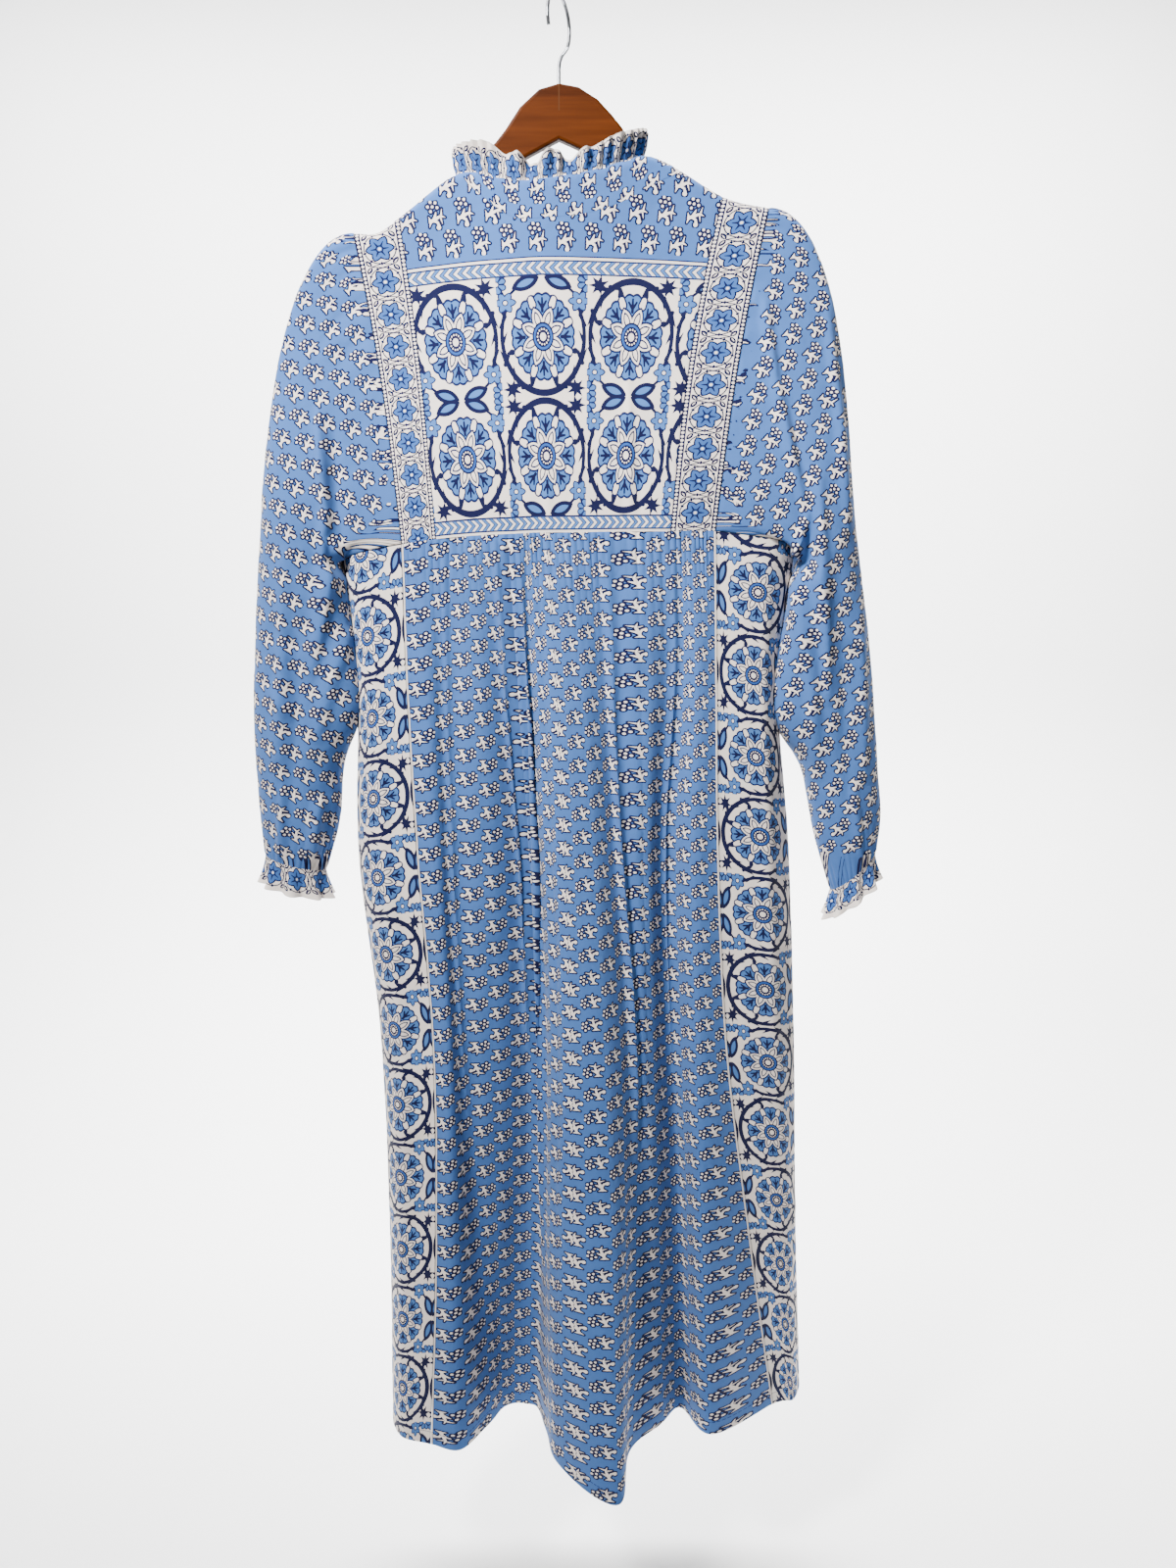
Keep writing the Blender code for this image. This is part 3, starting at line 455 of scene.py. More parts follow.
def upper(side, t, h):
    # Body above the yoke's seam: t across it, h down from the shoulder or neck line
    t, h = np.broadcast_arrays(np.asarray(t, float), np.asarray(h, float))
    foot = yoke_foot(side, t)
    x0 = shoulder_x(t)
    z0 = top_z(side, x0)
    q = h / (z0 - foot[..., 2])
    reach = neck_reach(x0)
    near = SHOULDER_DEPTH + NECK_EXTRA * np.exp(-(((x0 - NECK_X) / NECK_SPREAD) ** 2))
    deep = near + (np.abs(foot[..., 1]) - near) * ease(q)
    turn = np.sqrt(1 - (1 - np.clip(h / RIDGE_R, 0, 1)) ** 2)
    y = side * (reach + (deep - reach) * turn)
    x = x0 + (foot[..., 0] - x0) * q - YOKE_BOW * (2 * t - 1) * np.sin(math.pi * np.clip(q, 0, 1))
    return np.stack([x, y, z0 - h], axis=-1)


def band_spread(q):
    # Share of its extra width that the right band has at share q of its length
    return 1 - (1 - q) ** 2


def upper_ways(side, t, h):
    # Directions towards the front, square to the surface, from small steps across and down
    across = upper(side, t + STEP_T, h) - upper(side, t - STEP_T, h)
    down = upper(side, t, h + STEP_H) - upper(side, t, np.maximum(h - STEP_H, 0.0))
    n = np.cross(across, down)
    n = n / np.linalg.norm(n, axis=-1, keepdims=True)
    return n * np.sign(n[..., 1:2])


def normals(points, closed):
    # Surface directions of a grid of points, rows down and columns across
    if closed:
        wide = np.roll(points, -1, axis=1) - np.roll(points, 1, axis=1)
    else:
        wide = np.gradient(points, axis=1)
    tall = np.gradient(points, axis=0)
    n = np.cross(wide, tall)
    return n / np.maximum(np.linalg.norm(n, axis=-1, keepdims=True), TINY)


def armhole(sign, a):
    # Start of the sleeve: down the band's edge, then along the top of the side panel
    edge = -ARMHOLE_OUT if sign < 0 else 1 + ARMHOLE_OUT
    side = -1 if a <= 0.5 else 1
    b = a if a <= 0.5 else 1 - a
    if b <= CORNER_A:
        full = float(column_height(side, np.array(edge)))
        share = (b / CORNER_A) ** ARMHOLE_CURVE
        return upper(side, edge, (full - ARMHOLE_STOP) * share)
    share = (b - CORNER_A) / (0.5 - CORNER_A)
    names = {
        (-1, -1): ("left_seam", "left_side"),
        (-1, 1): ("front_%d" % (FRONT_PLEATS + 1), "left_side"),
        (1, -1): ("right_seam", "right_side"),
        (1, 1): ("front_0", "right_side"),
    }[(sign, side)]
    u0, u1 = place(names[0]), place(names[1])
    if u1 - u0 > AROUND / 2:
        u1 -= AROUND
    if u0 - u1 > AROUND / 2:
        u1 += AROUND
    point = ring(u0 + (u1 - u0) * share, 0.0)
    point[2] += ARMHOLE_LIFT
    return point


def sleeve_points(sign, turns, vs):
    table = np.array(LEFT_RINGS if sign < 0 else RIGHT_RINGS, float) * MM
    grid = np.empty((len(vs), len(turns), 3))
    for j, a in enumerate(turns):
        angle = 2 * math.pi * a
        rings = []
        for ox, oz, ix, iz, half in table:
            mid = np.array([(ox + ix) / 2, 0, (oz + iz) / 2])
            arm = np.array([(ox - ix) / 2, 0, (oz - iz) / 2])
            rings.append(mid + arm * math.cos(angle) + np.array([0, -half, 0]) * math.sin(angle))
        start = armhole(sign, a)
        rings = np.array([start] + rings)
        reach = np.linalg.norm(rings[1] - start)
        b = min(a, 1 - a)
        pull = CAP_PULL - CAP_PULL_LOSS * float(ease(b / 0.5))
        side = -1 if a <= 0.5 else 1
        lean = float(ease((b - LEAN_FROM) / LEAN_OVER))
        outward = LEAN_OUT * side * lean * math.cos(math.pi * (b - LEAN_FROM) / LEAN_TURN * 0.5)
        way = np.array([sign, outward, LEAN_UP * lean])
        first = way / np.linalg.norm(way) * reach * pull
        second = (rings[2] - rings[1]) / (RING_V[2] - RING_V[1]) * RING_V[1]
        lower = spline(RING_V[1:], rings[1:], np.maximum(vs, RING_V[1]))
        t = np.clip(np.array(vs) / RING_V[1], 0, 1)[:, None]
        cap = (2 * t**3 - 3 * t**2 + 1) * start + (t**3 - 2 * t**2 + t) * first
        cap = cap + (3 * t**2 - 2 * t**3) * rings[1] + (t**3 - t**2) * second
        grid[:, j] = np.where(t < 1, cap, lower)
    return grid


def arc(points, axis):
    # Lengths along a grid's columns (axis 0) or rows (axis 1) from its first point, in millimetres
    step = np.linalg.norm(np.diff(points, axis=axis), axis=-1) / MM
    none = np.zeros_like(np.take(step, [0], axis=axis))
    return np.concatenate([none, np.cumsum(step, axis=axis)], axis=axis)


def wander(x, start):
    # An uneven wave between about -1 and 1
    return (np.sin(x + start) + np.sin(x * 0.618 + start * 2.7) + np.sin(x * 1.77 + start * 5.1)) / 3


def crease(across, down, table):
    # Height of listed folds on a cloth: each runs between two points, in its own millimetres
    total = np.zeros(np.broadcast(across, down).shape)
    for _, x0, y0, x1, y1, width, height in table:
        long = np.hypot(x1 - x0, y1 - y0)
        way = ((x1 - x0) / long, (y1 - y0) / long)
        along = (across - x0) * way[0] + (down - y0) * way[1]
        off = (across - x0) * way[1] - (down - y0) * way[0]
        off = off + FOLD_SWAY * width * np.sin(along / FOLD_SWAY_LENGTH)
        share = np.clip(along / long, 0, 1)
        fade = np.sin(math.pi * share) ** FOLD_FADE * ((along > 0) & (along < long))
        total += height * np.exp(-((off / width) ** 2)) * fade
    return total * MM


def crumple(across, down, start):
    # Small uneven waves of thin cotton that has been worn
    sway = 0.8 * wander(down / BROAD_SWAY, start)
    broad = wander(across / BROAD_ACROSS + sway, start) * wander(down / BROAD_DOWN, start + 4)
    fine = wander(across / FINE_ACROSS + down / FINE_SLANT, start + 1)
    fine = fine * wander(down / FINE_DOWN - across / FINE_TILT, start + 2)
    return (CRUMPLE[0] * broad + CRUMPLE[1] * fine) * MM


def raised(points, height, closed=False, ways=None):
    n = normals(points, closed) if ways is None else ways
    return points + n * height[..., None]


def cloth(name, points, weave, edge, finish, closed=False, turned=None, join=0):
    # One sheet with its wall: weave places the print, edge holds distances to the sides and the hem
    rows, cols = points.shape[:2]
    mesh = bpy.data.meshes.new(name)
    i, j = np.meshgrid(np.arange(rows - 1), np.arange(cols if closed else cols - 1), indexing="ij")
    corners = [(i, j), (i, j + 1), (i + 1, j + 1), (i + 1, j)]
    quads = np.stack([a * cols + b % cols for a, b in corners], axis=-1).reshape(-1, 4)
    mesh.from_pydata(points.reshape(-1, 3).tolist(), [], quads.tolist())
    for title, grid in (("print", weave), ("edge", edge)):
        spots = np.stack([grid[a, b] for a, b in corners], axis=-2)
        if title == "print" and turned is not None:
            other = np.stack([turned[a, b] for a, b in corners], axis=-2)
            spots = np.where((j < join)[..., None, None], other, spots)
        layer = mesh.uv_layers.new(name=title)
        layer.data.foreach_set("uv", spots.reshape(-1).astype(np.float32))
    made = bpy.data.objects.new(name, mesh)
    bpy.context.scene.collection.objects.link(made)
    mesh.materials.append(finish)
    wall = made.modifiers.new("wall", "SOLIDIFY")
    wall.thickness, wall.offset = CLOTH, 0.0
    bpy.ops.object.select_all(action="DESELECT")
    made.select_set(True)
    bpy.context.view_layer.objects.active = made
    bpy.ops.object.modifier_apply(modifier="wall")
    bpy.ops.object.shade_smooth_by_angle(angle=SMOOTH_ANGLE)
    return made


def edges(points, closed=False):
    # Distance to the nearer side edge and to the lower end, in millimetres
    wide = arc(points, 1)
    down = arc(points, 0)
    side = np.minimum(wide, wide[:, -1:] - wide)
    if closed:
        side = side * 0 + NO_EDGE
    grid = np.stack([side, down[-1:] - down], axis=-1)
    return np.concatenate([grid, grid[:, :1]], axis=1) if closed else grid


def tuck(points, closed=False):
    # How deep a piece dips into the seams along its edges
    at = edges(points, closed)
    return -SEAM_DIP * np.exp(-((at[..., 0] / SEAM_DIP_WIDTH) ** 2))


def gathers(count, across, down, depth, length, start):
    # Small uneven folds under a seam: across from 0 to 1, down in millimetres
    phase = across * count * math.pi + 0.9 * wander(across * count * 0.7, start)
    size = 0.6 + 0.4 * wander(across * count * 1.3, start + 1)
    reach = length * (0.75 + 0.6 * wander(across * count * 0.9, start + 2))
    fade = ease(down / GATHER_START) * np.exp(-((down / np.maximum(reach, GATHER_LEAST)) ** 1.3))
    return depth * MM * size * (1 - 2 * np.abs(np.sin(phase)) ** 0.8) * fade


def skirt_print(points, middle):
    # The sprigs lie sideways and turn round at the middle
    reference = arc(points[REFERENCE_ROW : REFERENCE_ROW + 1], 1)
    across = np.broadcast_to(reference - reference[0, middle], points.shape[:2])
    down = arc(points, 0)
    return np.stack([-down, -across], axis=-1), np.stack([down, across], axis=-1)


def body_grid(u0, u1, columns, rows, crowd):
    # Points of a sheet of the body between two seams, with its rows closer at the top
    u = np.linspace(u0 + SEAM, u1 - SEAM, columns)
    w = np.linspace(0.0, 1.0, rows) ** crowd
    return u, ring(u[None, :], w[:, None])


def skirt_gathers(u, down, count, depth, length, start):
    # Gathers under the yoke's seam that start a little way from the side seams
    across = (u - u[0]) / (u[-1] - u[0])
    height = gathers(count, across[None, :], down, depth, length, start)
    return height * ease(np.minimum(across, 1 - across) / GATHER_EDGE)[None, :]


def as_rows(columns):
    return np.array(columns).transpose(1, 0, 2)


def make_skirt_back():
    u, points = body_grid(*SEAM_U, SKIRT_COLUMNS, SKIRT_SIDE_ROWS, SKIRT_CROWD)
    middle = int(np.argmin(np.abs(points[0, :, 0] - PRINT_MIDDLE_X)))
    right, left = skirt_print(points, middle)
    down = arc(points, 0)
    wide = (u - SEAM_U[0])[None, :] / MM + 0 * down
    height = skirt_gathers(u, down, BACK_GATHERS, 1.5, 62.0, 0.4)
    height = height + crumple(wide, down, 0.5) + tuck(points)
    for name, first, last, width, depth in SKIRT_FOLDS:
        at = (place(name) - SEAM_U[0]) / MM
        height = height + crease(wide, down, ((name, at, first, at + 0.1, last, width, depth),))
    points = raised(points, height)
    return cloth("back_skirt", points, right, edges(points), SPRIG_SKIRT, turned=left, join=middle)


def make_skirt_front():
    u, points = body_grid(*FRONT_U, FRONT_COLUMNS, FRONT_ROWS, SKIRT_CROWD)
    middle = FRONT_COLUMNS // 2
    right, left = skirt_print(points, middle)
    height = skirt_gathers(u, arc(points, 0), FRONT_GATHERS, 1.4, 55.0, 3.1) + tuck(points)
    points = raised(points, height)
    return cloth("front_skirt", points, left, edges(points), SPRIG_SKIRT, turned=right, join=middle)


def make_side_panel(name, first, last, from_back, start, creases):
    u0, u1 = place(first), place(last)
    u1 = u1 + AROUND if u1 < u0 else u1
    _, points = body_grid(u0, u1, SIDE_COLUMNS, SKIRT_SIDE_ROWS, SIDE_CROWD)
    reference = arc(points[REFERENCE_ROW : REFERENCE_ROW + 1], 1)
    across = reference if from_back else reference[:, -1:] - reference
    across = np.broadcast_to(across, points.shape[:2])
    down = arc(points, 0)
    weave = np.stack([down - start, across * SIDE_PRINT_SQUEEZE - SIDE_PRINT_CUT], axis=-1)
    wide = arc(points, 1)
    wide = wide if from_back else wide[:, -1:] - wide
    height = crease(wide, down, creases) + crumple(wide, down, start + 7.0) + tuck(points)
    points = raised(points, height)
    return cloth(name, points, weave, edges(points), MEDALLION_SIDE)


def fall(t, start, full, count):
    # Distances down a column: closely over the rounded shoulder, then evenly to its foot
    first = start + RIDGE_R * (1 - np.cos(np.linspace(0, math.pi / 2, RIDGE_ROWS)))
    rest = np.linspace(0, 1, count + 1)[1:]
    return np.concatenate([first, first[-1] + (full - first[-1]) * rest])


def crescent_drop(x):
    table = np.array(CRESCENT) * MM
    return top_z(-1, x) - spline(table[:, 0], table[:, 1], x)


def make_back_yoke():
    left, right = BAND_T, 1 - BAND_T
    c0, c1 = across_width(np.array(CRESCENT_X))
    t = np.linspace(left, right, YOKE_COLUMNS)
    grid, ways = [], []
    for one in t:
        start = float(crescent_drop(shoulder_x(one))) + SEAM if c0 < one < c1 else 0.0
        full = float(column_height(-1, np.array(one)))
        h = fall(one, start, full, YOKE_ROWS)
        edge = right - RIGHT_BAND_EXTRA * band_spread((h - start) / (full - start))
        across = left + (edge - left) * (one - left) / (right - left)
        h = h * column_height(-1, across) / full
        grid.append(upper(-1, across, h))
        ways.append(upper_ways(-1, across, h))
    points, ways = as_rows(grid), as_rows(ways)
    up = arc(points, 0)
    up = up[-1:] - up + YOKE_FOOT_PRINT
    share = (up + BORDER_HALF) / (2 * BORDER_HALF)
    middle = PANEL_MIDDLE[0] + (PANEL_MIDDLE[1] - PANEL_MIDDLE[0]) * share
    stretch = PANEL_STRETCH[0] + (PANEL_STRETCH[1] - PANEL_STRETCH[0]) * np.clip(share, -0.6, 2.2)
    weave = np.stack([(points[..., 0] / MM - middle) * stretch, up], axis=-1)
    wide = points[..., 0] / MM
    height = crease(wide, up, YOKE_CREASES) + tuck(points) - 0.6 * crumple(wide, up, 2.0)
    points = raised(points, -height, ways=ways)
    return cloth("yoke_back", points, weave, edges(points), YOKE_BORDER)


def make_crescent():
    c0, c1 = across_width(np.array(CRESCENT_X))
    t = np.linspace(c0, c1, CRESCENT_COLUMNS)
    share = np.linspace(0, 1, CRESCENT_ROWS) ** CRESCENT_CROWD
    h = crescent_drop(shoulder_x(t))[None, :] * share[:, None]
    points = upper(-1, t[None, :], h)
    ways = upper_ways(-1, t[None, :], h)
    down = arc(points, 0)
    across = (points[..., 0] - NECK_X) / MM
    weave = np.stack([-across, down[-1:].max() - down[-1:] + down], axis=-1)
    height = gathers(CRESCENT_GATHERS, (t - c0)[None, :] / (c1 - c0), down, 0.5, 10.0, 1.9)
    points = raised(points, -height, ways=ways)
    return cloth("neck_yoke_back", points, weave, edges(points), SPRIG)


def make_band(name, first):
    columns = []
    for share in np.linspace(0, 1, BAND_COLUMNS):
        parts = []
        for side in (-1, 1):
            t0 = BAND_T * share if first else 1 - BAND_T * (1 - share)
            full = float(column_height(side, np.array(t0)))
            h = fall(t0, 0.0, full, BAND_ROWS)
            extra = 0 if first or side > 0 else RIGHT_BAND_EXTRA * (1 - share) * band_spread(h / full)
            h = h * column_height(side, t0 - extra) / full
            parts.append(upper(side, t0 - extra, h))
        columns.append(np.concatenate([parts[0][::-1], parts[1][1:]]))
    points = as_rows(columns)
    down = arc(points, 0)
    middle = down[down.shape[0] // 2].mean()
    across = (np.linspace(0, 1, BAND_COLUMNS) - 0.5)[None, :] * BAND_PRINT_WIDTH
    weave = np.stack([across + 0 * down, middle - down + BAND_PRINT_START], axis=-1)
    wide = arc(points, 1)
    height = crease(wide, middle - down, BAND_CREASES) + 0.5 * crumple(wide, down, 5.0) + tuck(points)
    points = raised(points, height)
    return cloth(name, points, weave, edges(points), VINE_BAND)


def make_front_yoke(name, a, b):
    t = np.linspace(a, b, FRONT_YOKE_COLUMNS)
    grid, ways = [], []
    for one in t:
        full = float(column_height(1, np.array(one)))
        h = fall(one, 0.0, full, FRONT_YOKE_ROWS)
        grid.append(upper(1, one, h))
        ways.append(upper_ways(1, one, h))
    points, ways = as_rows(grid), as_rows(ways)
    up = arc(points, 0)
    up = up[-1:] - up
    weave = np.stack([-(points[..., 0] - NECK_X) / MM, up], axis=-1)
    points = raised(points, tuck(points), ways=ways)
    return cloth(name, points, weave, edges(points), SPRIG)


def make_placket():
    middle = across_width(NECK_X)
    half = PLACKET_HALF_T - PLACKET_EDGE_T
    t = np.linspace(middle - half, middle + half, PLACKET_COLUMNS)
    fulls = [float(column_height(1, np.array(c))) for c in t]
    grid = [upper(1, c, fall(c, 0.0, full, PLACKET_ROWS)) for c, full in zip(t, fulls)]
    points = as_rows(grid)
    down = arc(points, 0)
    weave = np.stack([-(points[..., 0] - NECK_X) / MM, down[-1:] - down], axis=-1)
    edge = edges(points)
    points = raised(points, -PLACKET_LIFT * ease((edge[..., 0] - 0.2) / 1.2))
    return cloth("front_placket", points, weave, edge, SPRIG_STITCHED)


def make_neck_frill():
    # An open ring that starts and ends at the front placket
    table = np.array(FRILL, float)
    turns = np.linspace(*FRILL_ENDS, FRILL_COLUMNS)
    x = NECK_X + NECK_HALF * np.sin(2 * math.pi * turns)
    y = NECK_DEPTH * np.cos(2 * math.pi * turns)
    back = y < 0
    waves = 0.003 + 0.003 * np.sin(2 * math.pi * FRONT_FRILL_WAVES * 2 * turns)
    wave = np.where(back, spline(table[:, 0], table[:, 1], x / MM) * MM, waves)
    high = np.where(back, spline(table[:, 0], table[:, 2], x / MM) * MM, FRONT_FRILL_H)
    settle = ease(np.abs(y) / NECK_DEPTH / 0.5)
    wave = FRILL_LEAN + wave * settle
    base = np.where(back, top_z(-1, x), top_z(1, x)) + 0.0001
    out = np.stack([np.sin(2 * math.pi * turns) * FRILL_OVAL, np.cos(2 * math.pi * turns), 0 * x], axis=1)
    out /= np.linalg.norm(out, axis=1, keepdims=True)
    foot = np.stack([x, y, base], axis=1)
    rows = []
    phase = turns * FRILL_PUCKERS * 2 * math.pi + 2.0 * wander(turns * 90, 1.0)
    for v in np.linspace(0, 1, FRILL_ROWS):
        small = FRILL_PUCKER * np.sin(phase) * min(v * 2.2, 1.0)
        small = small + FRILL_RUFFLE * wander(turns * 240, 0.7) * v
        point = foot + out * (wave * v + small)[:, None]
        point[:, 2] += high * v
        rows.append(point)
    points = np.array(rows)
    up = arc(points, 0)
    along = arc(points[FRILL_ROWS // 2 : FRILL_ROWS // 2 + 1], 1) + 0 * up
    weave = np.stack([up - FRILL_PRINT_START, along * FRILL_PRINT_PACK], axis=-1)
    edge = np.stack([up[-1:] - up, up], axis=-1)
    return cloth("frill_neck", points, weave, edge, VINE_FRILL)


def sleeve_print(points, sign):
    # Unrolls a sleeve from its outer line along level cuts, so that the print runs evenly over its head
    cols = points.shape[1]
    outer = cols // 2
    low = np.maximum.accumulate(-points[..., 2], axis=0)
    along = np.interp(low, low[:, outer], arc(points, 0)[:, outer])
    levels = np.linspace(low[0].min(), low[-1].max(), PRINT_LEVELS)
    x = np.stack([np.interp(levels, low[:, j], points[:, j, 0]) for j in range(cols)])
    y = np.stack([np.interp(levels, low[:, j], points[:, j, 1]) for j in range(cols)])
    cut = levels[None, :] >= low[0][:, None]
    step = np.hypot(np.roll(x, -1, axis=0) - x, np.roll(y, -1, axis=0) - y) / MM
    step = np.where(cut & np.roll(cut, -1, axis=0), step, 0)
    reach = np.concatenate([np.zeros((1, PRINT_LEVELS)), np.cumsum(step, axis=0)])
    reach = (reach - reach[outer]) * -sign
    across = np.stack([np.interp(low[:, j % cols], levels, reach[j]) for j in range(cols + 1)], axis=1)
    up = -np.concatenate([along, along[:, :1]], axis=1)
    turn = math.radians(SLEEVE_PRINT_TURN[0 if sign < 0 else 1])
    c, s = math.cos(turn), math.sin(turn)
    weave = np.stack([across * c + up * s, up * c - across * s], axis=-1)
    return weave, across[:, :-1], along


def meet_body(points, sign):
    # The sleeve lies against the body under the arm, a little in front of it
    z = points[..., 2] / MM
    near = ease((z + ARM_LOW) / ARM_LOW_FADE) * ease((-ARM_HIGH - z) / ARM_HIGH_FADE)
    inner = np.min(points[..., 0] * sign, axis=1, keepdims=True)
    edge = 1 - ease((points[..., 0] * sign - inner) / ARM_REACH)
    moved = points.copy()
    moved[..., 0] -= sign * ARM_PRESS[0] * MM * near * edge
    moved[..., 1] -= ARM_PRESS[1] * MM * near * edge
    return moved


def make_sleeve(name, sign, creases):
    # The first column is the seam under the arm, the middle one the outer line
    turns = (np.arange(SLEEVE_COLUMNS) / SLEEVE_COLUMNS + 0.5) % 1.0
    vs = np.linspace(0, 1, SLEEVE_ROWS) ** SLEEVE_CROWD
    points = sleeve_points(sign, turns, vs)
    n = normals(points, True) * -sign
    b = np.minimum(turns, 1 - turns)
    down = arc(points, 0)
    weave, across, along = sleeve_print(points, sign)
    head = gathers(SLEEVE_GATHERS, turns[None, :], down, 1.6, 42.0, 2.2)
    head = head * (1 - ease((b - HEAD_SPAN + 0.08) / 0.08))[None, :]
    cuff = gathers(CUFF_GATHERS, turns[None, :], down[-1:] - down, 1.7, 34.0, 5.2)
    height = head + cuff + crumple(across, along, sign + 3.0)
    shown = ease((-points[..., 1] / MM - 2.0) / 6.0) * ease(down / 12.0)
    height = height + crease(points[..., 0] / MM, -points[..., 2] / MM, creases) * shown
    points = meet_body(points + n * height[..., None], sign)
    return cloth(name, points, weave, edges(points, True), SPRIG, closed=True)


def make_cuff(name, sign):
    turns = np.arange(CUFF_COLUMNS) / CUFF_COLUMNS
    end = sleeve_points(sign, turns, np.array([0.90, 1.0]))
    down = end[1] - end[0]
    down /= np.linalg.norm(down, axis=1, keepdims=True)
    mid = end[1].mean(axis=0)
    out = end[1] - mid
    out[:, 2] *= 0.3
    out /= np.linalg.norm(out, axis=1, keepdims=True)
    rows = []
    for v in np.linspace(0, 1, CUFF_ROWS):
        wave = CUFF_DEPTH * v * np.sin(2 * math.pi * CUFF_WAVES * turns)
        wave = wave + 0.0008 * wander(turns * 150, sign + 2.0) * math.sin(math.pi * min(1.3 * v, 1))
        point = end[1] + down * SEAM + out * (CUFF_FLARE * v * v + wave)[:, None]
        point[:, 2] -= CUFF_LENGTH * v
        rows.append(point)
    points = np.array(rows)
    loop = np.concatenate([points, points[:, :1]], axis=1)
    low = arc(loop, 0)
    around = arc(loop[CUFF_ROWS // 2 : CUFF_ROWS // 2 + 1], 1) + 0 * low
    weave = np.stack([low - CUFF_PRINT_START, around], axis=-1)
    edge = np.stack([low[-1:] - low, low], axis=-1)
    return cloth(name, points, weave, edge, VINE_FRILL, closed=True)


def dye(red, green, blue):
    # A colour as seen on a screen, 0 to 255, turned into light
    parts = [v / 255 for v in (red, green, blue)]
    return tuple(v / 12.92 if v < 0.04045 else ((v + 0.055) / 1.055) ** 2.4 for v in parts)


def feed(tree, slot, value):
    if isinstance(value, (Ink, Spot)):
        tree.links.new(value.socket, slot)
    elif isinstance(value, bpy.types.NodeSocket):
        tree.links.new(value, slot)
    elif isinstance(value, tuple) and len(value) == 3 and slot.type == "RGBA":
        slot.default_value = (*value, 1.0)
    else:
        slot.default_value = value


class Ink:
    # One number in a print's drawing, so that the drawing reads as sums

    def __init__(self, tree, socket):
        self.tree, self.socket = tree, socket

    def step(self, operation, *others, clamp=False):
        node = self.tree.nodes.new("ShaderNodeMath")
        node.operation, node.use_clamp = operation, clamp
        for slot, value in zip(node.inputs, (self,) + others):
            feed(self.tree, slot, value)
        return Ink(self.tree, node.outputs[0])

    def __add__(self, other):
        return self.step("ADD", other)

    def __sub__(self, other):
        return self.step("SUBTRACT", other)

    def __mul__(self, other):
        return self.step("MULTIPLY", other)

    def __truediv__(self, other):
        return self.step("DIVIDE", other)

    def scaled(self, by, plus, clamp=False):
        return self.step("MULTIPLY_ADD", by, plus, clamp=clamp)

    def __abs__(self):
        return self.step("ABSOLUTE")

    def less(self, other):
        return self.step("LESS_THAN", other)

    def least(self, other):
        return self.step("MINIMUM", other)

    def most(self, other):
        return self.step("MAXIMUM", other)

    def wrapped(self, high, low):
        return self.step("WRAP", high, low)


class Spot:
    # One place on the cloth, in millimetres

    def __init__(self, tree, socket):
        self.tree, self.socket = tree, socket

    def step(self, operation, *others, out="Vector"):
        node = self.tree.nodes.new("ShaderNodeVectorMath")
        node.operation = operation
        for slot, value in zip(node.inputs, (self,) + others):
            feed(self.tree, slot, value)
        return (Ink if out == "Value" else Spot)(self.tree, node.outputs[out])

    def parts(self):
        node = self.tree.nodes.new("ShaderNodeSeparateXYZ")
        feed(self.tree, node.inputs[0], self)
        return Ink(self.tree, node.outputs[0]), Ink(self.tree, node.outputs[1])

    def far(self, x, y):
        return self.step("DISTANCE", (x, y, 0.0), out="Value")


def spot(x, y):
    node = x.tree.nodes.new("ShaderNodeCombineXYZ")
    feed(x.tree, node.inputs[0], x)
    feed(x.tree, node.inputs[1], y)
    return Spot(x.tree, node.outputs[0])


def dab(at, x, y, radius):
    return at.far(x, y) - radius


def stroke(at, x0, y0, r0, x1, y1, r1):
    # Distance from a brush stroke whose half width goes from r0 to r1
    way = (x1 - x0, y1 - y0, 0.0)
    rel = at.step("SUBTRACT", (x0, y0, 0.0))
    share = rel.step("DOT_PRODUCT", way, out="Value")
    share = share.step("MULTIPLY", 1 / (way[0] ** 2 + way[1] ** 2), clamp=True)
    node = at.tree.nodes.new("ShaderNodeVectorMath")
    node.operation = "SCALE"
    node.inputs[0].default_value = way
    feed(at.tree, node.inputs["Scale"], share)
    off = rel.step("SUBTRACT", Spot(at.tree, node.outputs[0]))
    return off.step("LENGTH", out="Value") - share.scaled(r1 - r0, r0)


def leaf(at, x0, y0, x1, y1, half):
    # Distance from a leaf with two pointed ends
    chord = math.hypot(x1 - x0, y1 - y0)
    radius = (chord * chord / 4 + half * half) / (2 * half)
    shift = (radius - half) / chord
    mid = ((x0 + x1) / 2, (y0 + y1) / 2)
    off = (-(y1 - y0) * shift, (x1 - x0) * shift)
    one = dab(at, mid[0] + off[0], mid[1] + off[1], radius)
    return one.most(dab(at, mid[0] - off[0], mid[1] - off[1], radius))


def joined(shapes):
    out = shapes[0]
    for shape in shapes[1:]:
        out = out.least(shape)
    return out


def turned_polar(x, y, petals):
    # Distance from the middle, and the angle from the nearest petal's middle line
    r = (x * x + y * y).step("SQRT")
    return r, y.step("ARCTAN2", x).step("PINGPONG", math.pi / petals)


def star(r, turn, petals, tip, dip):
    # Distance from the edge of a flower with pointed petals
    half = math.pi / petals
    edge = (dip * math.cos(half) - tip, dip * math.sin(half))
    long = math.hypot(*edge)
    out = (turn.step("COSINE") * r - tip) * (edge[1] / long)
    return out - turn.step("SINE") * r * (edge[0] / long)


def paint(below, shape, colour, limit=0.0):
    # Colour laid where the shape's distance is under the limit
    node = shape.tree.nodes.new("ShaderNodeMix")
    node.data_type = "RGBA"
    feed(shape.tree, node.inputs["Factor"], shape.less(limit))
    feed(shape.tree, node.inputs[6], below)
    feed(shape.tree, node.inputs[7], colour)
    return node.outputs[2]


